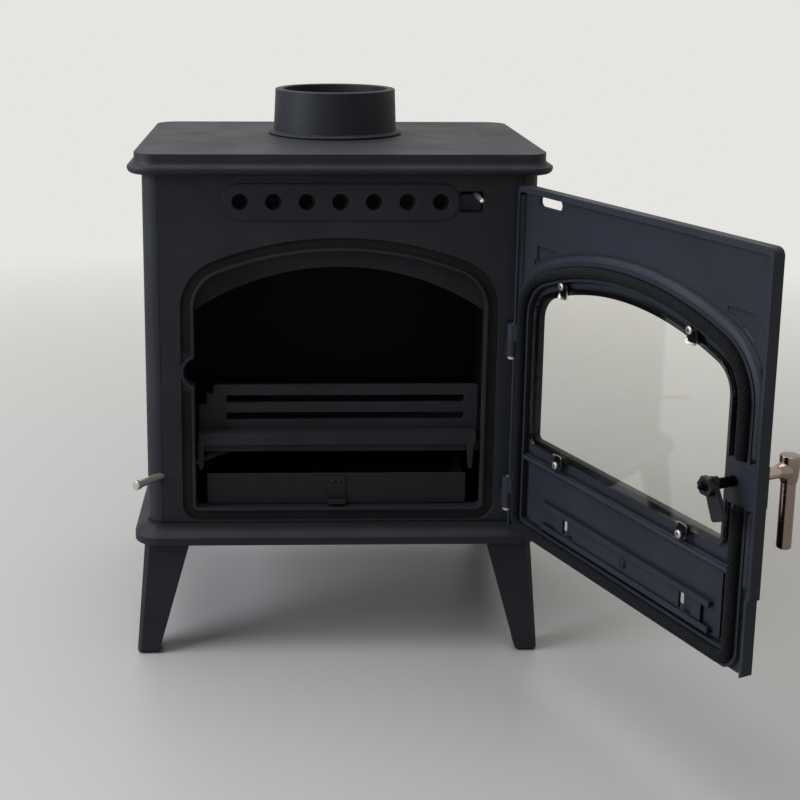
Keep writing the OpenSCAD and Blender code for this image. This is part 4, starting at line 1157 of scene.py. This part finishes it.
@dataclass(frozen=True)
class Turning:
    """A turned piece: a profile of radius and distance carried round an axis."""

    name: str
    start: Vector
    axis: Vector
    profile: tuple[tuple[float, float], ...]
    steps: int = 64
    per_corner: int = 5
    corner_mm: float = 0.6

    def smooth_profile(self) -> np.ndarray:
        """Rounds each inner corner of the profile with a quadratic curve.

        A point of the curve is (1-u)^2 a + 2u(1-u) corner + u^2 b, with a and b at corner_mm along
        the two sides, or at a third of a shorter side.

        Returns:
            Distance along the axis and radius of each point, in millimetres.
        """
        points = np.array(self.profile, float)
        before, corner, after = points[:-2], points[1:-1], points[2:]
        to_a, to_b = before - corner, after - corner
        long_a = np.linalg.norm(to_a, axis=1)[:, None]
        long_b = np.linalg.norm(to_b, axis=1)[:, None]
        a = corner + to_a / long_a * np.minimum(self.corner_mm, long_a / 3)
        b = corner + to_b / long_b * np.minimum(self.corner_mm, long_b / 3)
        u = np.linspace(0.0, 1.0, self.per_corner)[None, :, None]
        curve = (1 - u) ** 2 * a[:, None] + 2 * u * (1 - u) * corner[:, None] + u**2 * b[:, None]
        return np.concatenate([points[:1], curve.reshape(-1, 2), points[-1:]])

    def build(self) -> bpy.types.Object:
        """Carries the profile round the axis.

        Returns:
            The piece.
        """
        profile = self.smooth_profile()[:, :, None, None] * MM
        axis = np.array(self.axis.normalized())
        helper = np.array([0.0, 0.0, 1.0]) if abs(axis[2]) < 0.9 else np.array([1.0, 0.0, 0.0])
        u = np.cross(axis, helper)
        u /= np.linalg.norm(u)
        v = np.cross(axis, u)
        angle = np.linspace(0.0, FULL_TURN, self.steps, endpoint=False)[None, :, None]
        along, radius = profile[:, 0], profile[:, 1]
        points = np.array(self.start) + along * axis + radius * (np.cos(angle) * u + np.sin(angle) * v)
        return close_and_turn_out(mesh_from_grid(self.name, points), 50.0)


@dataclass(frozen=True)
class Handle:
    """Latch handle: a tube that hangs from the shank's socket when the door is latched."""

    across_x: float = -168.0
    level_z: float = 342.0
    tube_t: float = -65.0
    tube_r: float = 7.0
    drop: float = 78.0
    rise: float = 13.6
    socket_r: float = 9.6
    socket_top: float = 14.4
    socket_foot: float = 13.0
    neck: float = 16.0
    shank_r: float = 6.1
    chamfer: float = 1.2
    clear: float = 0.4
    waist: float = 0.9
    shoulder: float = 6.0
    neck_ends: float = 3.0
    neck_lip: float = 0.7

    def build(self, paints: Paints) -> list[bpy.types.Object]:
        """Turns the tube and the socket about the upright axis, and the socket's neck about the shank.

        Args:
            paints: The materials.

        Returns:
            The tube and the socket.
        """
        start, up = DOOR.spot(self.across_x, self.tube_t, self.level_z), Vector((0.0, 0.0, 1.0))
        narrow = self.tube_r - self.chamfer
        tube = Turning(
            "handle_grip", start, up,
            (
                (-self.drop, 0.0), (-self.drop, narrow), (-self.drop + self.chamfer, self.tube_r),
                (self.rise - self.chamfer, self.tube_r), (self.rise, narrow), (self.rise, 0.0),
            ),
            steps=72, corner_mm=1.6,
        ).build()
        foot, wide = self.socket_foot, self.socket_r
        sleeve = Turning(
            "sleeve", start, up,
            (
                (-foot, 0.0), (-foot, self.tube_r + self.clear), (-foot + self.shoulder, wide - self.waist),
                (foot - self.shoulder, wide), (self.socket_top, wide), (self.socket_top, 0.0),
            ),
            steps=72, corner_mm=1.2,
        ).build()
        neck = Turning(
            "neck", start, DOOR.inward(),
            (
                (self.neck_ends, 0.0), (self.neck_ends, wide - self.clear),
                (wide - 5 * self.clear, wide - 2 * self.clear),
                (self.neck - self.neck_ends, self.shank_r + self.neck_lip), (self.neck, self.shank_r),
                (self.neck, 0.0),
            ),
            steps=64, corner_mm=2.4,
        ).build()
        socket = join([sleeve, neck], "handle_socket")
        socket.data.set_sharp_from_angle(angle=math.radians(50))
        return [
            dress(tube, paints.polished, Slot.POLISHED, Body.LATCH, "handle_tube"),
            dress(socket, paints.polished, Slot.BLACK_STEEL, Body.LATCH, "handle_collar"),
        ]


@dataclass(frozen=True)
class ClipPlaces:
    """Where the four clips stand on the shut door, and which way the glass lies from each."""

    centre_z: float = 99.84
    edge_r: float = 380.2
    foot_z: float = 264.0
    top_x: tuple[float, float] = (105.0, -99.0)
    foot_x: tuple[float, float] = (103.0, -101.0)

    def all(self) -> np.ndarray:
        """Lists the places.

        Returns:
            Four rows of x, z and the direction to the glass, 1 for up.
        """
        top = [[x, self.centre_z + math.sqrt(self.edge_r**2 - x * x), -1.0] for x in self.top_x]
        return np.array(top + [[x, self.foot_z, 1.0] for x in self.foot_x])


@dataclass(frozen=True)
class GlassClips:
    """Spring plates under the screws, with edges bent up beside the glass."""

    wide: tuple[float, float] = (-11.0, 5.0)
    deep: tuple[float, float] = (-2.8, 13.0)
    base_t: float = 1.5
    thick: float = 1.1
    lift: float = 2.4
    squareness: float = 0.4
    side_reach: float = 1.6
    bend_from: float = 0.7
    bend_power: float = 1.5
    highlight_from: float = 0.78
    highlight_over: float = 0.1
    rings: int = 18
    spokes: int = 96

    def build(self, material: bpy.types.Material) -> bpy.types.Object:
        """Makes each plate as rings of a rounded rectangle, whose outer rings rise towards the glass.

        With c and s the cosine and sine of the spoke and q the squareness, a ring's point is
        (sign(c)|c|^q, sign(s)|s|^q) times its share of the half sizes.

        Args:
            material: The spring steel.

        Returns:
            One piece with four plates.
        """
        share = np.linspace(0.0, 1.0, self.rings)[:, None]
        angle = np.linspace(0.0, FULL_TURN, self.spokes, endpoint=False)[None, :]
        c, s = np.cos(angle), np.sin(angle)
        half_x, half_z = (self.wide[1] - self.wide[0]) / 2, (self.deep[1] - self.deep[0]) / 2
        x = sum(self.wide) / 2 + half_x * share * np.sign(c) * np.abs(c) ** self.squareness
        z = sum(self.deep) / 2 + half_z * share * np.sign(s) * np.abs(s) ** self.squareness
        # Only the edges towards the glass and towards the free side are bent up
        towards = np.clip(np.maximum(s, -c) * self.side_reach, 0.0, 1.0)
        bend = np.clip((share - self.bend_from) / (1 - self.bend_from), 0.0, 1.0)
        rise = self.lift * towards * bend**self.bend_power
        grid_x = np.concatenate([x, x[::-1]])
        grid_z = np.concatenate([z, z[::-1]])
        grid_t = np.concatenate([self.thick + rise, rise[::-1]])
        # Painted highlight: the outer rings of the bent-up edges are painted bright, on both faces
        rubbed_and_highlit = np.clip((share - self.highlight_from) / self.highlight_over, 0.0, 1.0)
        wear_and_highlight = np.concatenate([towards * rubbed_and_highlit, (towards * share)[::-1]])
        plates = []
        for place_x, place_z, side in ClipPlaces().all():
            points = DOOR.place(place_x + grid_x, self.base_t + grid_t, place_z + side * grid_z)
            plate = mesh_from_grid("plate", points)
            layer = plate.data.attributes.new(RIM_HIGHLIGHT, "FLOAT", "POINT")
            layer.data.foreach_set("value", wear_and_highlight.ravel().astype(np.float32))
            plates.append(plate)
        joined = close_and_turn_out(join(plates, "glass_clip_plates"), 40.0)
        return dress(joined, material, Slot.PLATED, Body.DOOR, "glass_clips")


@dataclass(frozen=True)
class ClipScrews:
    """Socket-head screws that hold the glass clips."""

    base_t: float = 3.0
    head_r: float = 4.2
    head_h: float = 3.1
    socket_r: float = 1.9
    socket_depth: float = 2.0
    socket_wall: float = 0.2
    crown: float = 0.25
    crown_power: int = 6
    stub_depth: float = 1.5
    stub_sizes: tuple[float, float] = (0.999, 0.3996)
    rings: int = 22
    spokes: int = 72

    def build(self, material: bpy.types.Material) -> bpy.types.Object:
        """Makes the heads: flat with a rounded edge, 1 - crown r^n high, less a six-sided socket.

        The socket's edge lies at r = a cos(30) / cos(phi mod 60 - 30 degrees), with a its corner radius.

        Args:
            material: The plating.

        Returns:
            One piece with four heads.
        """
        share = np.linspace(0.0, 1.0, self.rings)[:, None]
        angle = np.linspace(0.0, FULL_TURN, self.spokes, endpoint=False)[None, :]
        x, z = share * self.head_r * np.cos(angle), share * self.head_r * np.sin(angle)
        sixth = math.pi / 3
        edge = self.socket_r * math.cos(sixth / 2) / np.cos(angle % sixth - sixth / 2)
        recess = self.socket_depth * np.clip((edge - share * self.head_r) / self.socket_wall, 0.0, 1.0)
        top = self.head_h * (1 - self.crown * share**self.crown_power) - recess
        # Below the head's wall a stub goes into the casting
        sizes = np.array(self.stub_sizes)[:, None]
        head_x = np.concatenate([x, sizes * x[-1]])
        head_z = np.concatenate([z, sizes * z[-1]])
        stub = np.array([0.0, -self.stub_depth])[:, None]
        head_t = np.concatenate([top, np.broadcast_to(stub, (2, self.spokes))])
        heads = []
        for place_x, place_z, _ in ClipPlaces().all():
            points = DOOR.place(place_x + head_x, self.base_t + head_t, place_z + head_z)
            heads.append(mesh_from_grid("head", points))
        joined = close_and_turn_out(join(heads, "clip_screw_heads"), 40.0)
        return dress(joined, material, Slot.PLATED, Body.DOOR, "clip_screws")


@dataclass(frozen=True)
class Castings:
    """Every cast, folded and pressed piece of the stove, with how far its edges are softened, in mm."""

    outside: tuple[tuple[str, float], ...] = (
        ("base_plate", 1.6), ("leg_front_left", 1.6), ("leg_front_right", 1.6), ("leg_rear_left", 1.6),
        ("leg_rear_right", 1.6), ("left_side", 1.2), ("right_side", 1.2), ("back_panel", 1.2),
        ("front_plate", 0.9), ("top_plate", 1.4), ("flue_collar", 1.0),
    )
    inside: tuple[tuple[str, float], ...] = (
        ("log_fence", 1.3), ("grate_frame", 0.8), ("airwash_deflector", 0.8), ("slide_rails", 0.4),
    )
    sheets: tuple[tuple[str, float], ...] = (("ash_pan", 0.5), ("pan_pull", 0.3))
    bricks: tuple[tuple[str, float], ...] = (("left_brick", 2.5), ("right_brick", 2.5), ("rear_brick", 2.5))
    boards: tuple[tuple[str, float], ...] = (("baffle_board", 1.0),)
    brick_segments: int = 3

    @staticmethod
    def soften(
        nodes: tuple[tuple[str, float], ...], material: bpy.types.Material, slot: Slot, segments: int = 2
    ) -> list[bpy.types.Object]:
        """Builds the pieces of one material.

        Args:
            nodes: Names of the nodes, with how far the edges of each are softened.
            material: The material.
            slot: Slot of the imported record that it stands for.
            segments: Into how many strips each softened edge is cut.

        Returns:
            The pieces.
        """
        return [
            SoftCasting(node, Body.STOVE, edge, slot, segments).build(material) for node, edge in nodes
        ]

    def build(self, paints: Paints) -> list[bpy.types.Object]:
        """Builds everything that stays still, and the lining of the front plate's groove.

        Args:
            paints: The materials.

        Returns:
            The pieces.
        """
        return [
            *self.soften(self.outside, paints.iron, Slot.IRON),
            *self.soften(self.inside, paints.firebox, Slot.IRON_INSIDE),
            # The groove's lining paints the shade of the deep groove, together with the rope's soot
            ShadedSootyGroove().build(paints.soot_and_shade),
            *self.soften(self.sheets, paints.sheet, Slot.SHEET),
            *self.soften(self.bricks, paints.brick, Slot.BRICK, self.brick_segments),
            *self.soften(self.boards, paints.board, Slot.BOARD),
        ]


@dataclass(frozen=True)
class Door:
    """The open door: casting, rope, clips, screws and the bar that shuts its air windows."""

    # Rounding this casting's mesh fills some of its large faces wrongly, so the paint alone softens its edges
    edge_mm: float = 0.0

    def build(self, paints: Paints) -> list[bpy.types.Object]:
        """Builds the door's pieces.

        Args:
            paints: The materials.

        Returns:
            The pieces.
        """
        return [
            DoorCasting("door_casting", Body.DOOR, self.edge_mm, Slot.IRON_INSIDE).build(paints.iron_inside),
            ArchMoulding().build(paints.iron_inside),
            SealingRope().build(paints.rope),
            GlassClips().build(paints.clip),
            ClipScrews().build(paints.plated),
            SoftCasting("door_slide", Body.DOOR_SLIDE, 0.4, Slot.IRON_INSIDE).build(paints.iron_inside),
        ]


@dataclass(frozen=True)
class Latch:
    """Blade and nut of the latch, and its handle."""

    def build(self, paints: Paints) -> list[bpy.types.Object]:
        """Builds the latch's pieces.

        Args:
            paints: The materials.

        Returns:
            The pieces.
        """
        made = [
            SoftCasting("latch_blade", Body.LATCH, 0.8, Slot.IRON_INSIDE).build(paints.black_steel),
            SoftCasting("latch_nut", Body.LATCH, 0.5, Slot.PLATED).build(paints.black_steel),
        ]
        return made + Handle().build(paints)


def dress_nodes(paints: Paints) -> None:
    """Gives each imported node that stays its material.

    Args:
        paints: The materials.
    """
    by_slot = {
        Slot.IRON.value: paints.iron, Slot.IRON_INSIDE.value: paints.iron_inside,
        Slot.SHEET.value: paints.sheet, Slot.BRICK.value: paints.brick,
        Slot.BOARD.value: paints.board, Slot.PLATED.value: paints.plated,
        Slot.POLISHED.value: paints.polished, Slot.BLACK_STEEL.value: paints.black_steel,
        Slot.ROPE.value: paints.rope, Slot.GLASS.value: paints.glass,
    }
    own = {
        "latch_spindle": paints.shank, "door_slide_knob": paints.black_steel, "riddling_disc": paints.firebox,
    }
    slots = {part["node"]: part["material_slot"] for part in frame["record"]["subparts"]}
    for name, node in frame["nodes"].items():
        node.data.materials.clear()
        node.data.materials.append(own.get(name, by_slot[slots[name]]))


# ------------------------------------------------------------------ stage


@dataclass(frozen=True)
class Studio:
    """Camera at the photograph's viewpoint, pale floor, and soft light mostly from the left."""

    camera_mm: tuple[float, float, float] = (-62.004, -1491.585, 791.284)
    yaw: float = 1.623
    pitch: float = 11.426
    roll: float = 0.304
    focal_px: float = 1343.393
    shift: tuple[float, float] = (0.09625, -0.19125)
    frame_px: int = 800
    room: str = "#e6e5e2"
    fill: float = 0.13
    fade_m: tuple[float, float] = (0.7, 2.4)
    floor_half: float = 12.0
    aim: tuple[float, float, float] = (0.0, 0.0, 0.35)

    def add_camera(self) -> bpy.types.Object:
        """Points the camera: its back axis is away from the view, turned by the roll.

        Returns:
            The camera.
        """
        yaw, pitch, roll = (math.radians(a) for a in (self.yaw, self.pitch, self.roll))
        ahead = Vector((math.sin(yaw) * math.cos(pitch), math.cos(yaw) * math.cos(pitch), -math.sin(pitch)))
        right = Vector((math.cos(yaw), -math.sin(yaw), 0.0))
        up = right.cross(ahead)
        turned_right = math.cos(roll) * right + math.sin(roll) * up
        turned_up = -math.sin(roll) * right + math.cos(roll) * up
        data = bpy.data.cameras.new("camera")
        data.sensor_width = 36.0
        data.lens = self.focal_px * data.sensor_width / self.frame_px
        data.shift_x, data.shift_y = self.shift
        data.clip_end = 50.0
        camera = add_object("camera", data)
        spot = Vector(STOVE.place(*(np.array(v) for v in self.camera_mm)))
        turned = Matrix([turned_right, turned_up, -ahead]).transposed().to_4x4()
        camera.matrix_world = Matrix.Translation(spot) @ turned
        bpy.context.scene.camera = camera
        return camera

    def add_lamp(self, name: str, place: tuple[float, ...], size: float, watts: float, colour: str) -> None:
        """Hangs one square soft lamp that faces the middle of the stove.

        Args:
            name: Name of the lamp.
            place: Where it hangs, in metres.
            size: Side of the lamp, in metres.
            watts: Its power.
            colour: Colour of its light.
        """
        data = bpy.data.lights.new(name, "AREA")
        data.size = size
        data.energy = watts
        data.color = linear(colour)[:3]
        lamp = add_object(name, data)
        lamp.location = place
        lamp.rotation_euler = (Vector(self.aim) - Vector(place)).to_track_quat("-Z", "Y").to_euler()

    def background_rays(self, tree: bpy.types.NodeTree) -> Socket:
        """Tells the rays that see the background: from the camera, off metal and through glass.

        Args:
            tree: Tree that asks.

        Returns:
            1 for such a ray and 0 for the rays that carry light.
        """
        path = add_node(tree, "LightPath").outputs
        first = {0: path["Is Camera Ray"], 1: path["Is Transmission Ray"]}
        direct = add_node(tree, "Math", first, operation="MAXIMUM").outputs[0]
        return add_node(tree, "Math", {0: direct, 1: path["Is Glossy Ray"]}, operation="MAXIMUM").outputs[0]

    def add_floor(self) -> None:
        """Lays a plain pale floor, which is no part of the object and fades into the pale room."""
        half = self.floor_half
        corners = np.array([[[x, y, 0.0] for x in (-half, half)] for y in (-half, half)])
        piece = mesh_from_grid("floor", corners, wrap=False)
        made = PaleFloor("pale_floor", "#a5a39f", 0.45).material()
        tree = made.node_tree
        place = add_node(tree, "TexCoord").outputs["Object"]
        away = add_node(tree, "VectorMath", {0: place}, operation="LENGTH").outputs["Value"]
        range_m = {"Value": away, "From Min": self.fade_m[0], "From Max": self.fade_m[1]}
        fade = add_node(tree, "MapRange", range_m).outputs["Result"]
        share = add_node(tree, "Math", {0: fade, 1: self.background_rays(tree)}, operation="MULTIPLY")
        room = add_node(tree, "Emission", {"Color": linear(self.room), "Strength": 1.0})
        floor = tree.nodes["Principled BSDF"]
        both = add_node(tree, "MixShader", {0: share.outputs[0], 1: floor.outputs[0], 2: room.outputs[0]})
        tree.links.new(both.outputs[0], tree.nodes["Material Output"].inputs["Surface"])
        piece.data.materials.append(made)

    def add_world(self) -> None:
        """Fills the room with plain light, and shows it pale behind the object."""
        world = bpy.data.worlds.new("room")
        world.use_nodes = True
        bpy.context.scene.world = world
        tree = world.node_tree
        tree.nodes.clear()
        light = add_node(tree, "Background", {"Color": linear("#eef1f5"), "Strength": self.fill})
        wall = add_node(tree, "Background", {"Color": linear(self.room), "Strength": 1.0})
        shown = {0: self.background_rays(tree), 1: light.outputs[0], 2: wall.outputs[0]}
        add_node(tree, "OutputWorld", {"Surface": add_node(tree, "MixShader", shown).outputs[0]})

    def build(self) -> None:
        """Sets the stage."""
        bpy.context.scene.view_settings.view_transform = "Standard"
        self.add_camera()
        self.add_floor()
        self.add_world()
        self.add_lamp("window_left", (-2.6, -0.7, 1.4), 1.6, 90.0, "#eaf0ff")
        self.add_lamp("ceiling", (-0.5, 0.3, 3.2), 3.0, 112.0, "#ffffff")


def main() -> None:
    """Builds the stove's looks and the stage round them."""
    logging.basicConfig(level=logging.INFO, format="%(name)s %(message)s")
    paints = Paints.mixed()
    dress_nodes(paints)
    Castings().build(paints)
    Door().build(paints)
    Latch().build(paints)
    Studio().build()


if __name__ == "__main__":
    main()
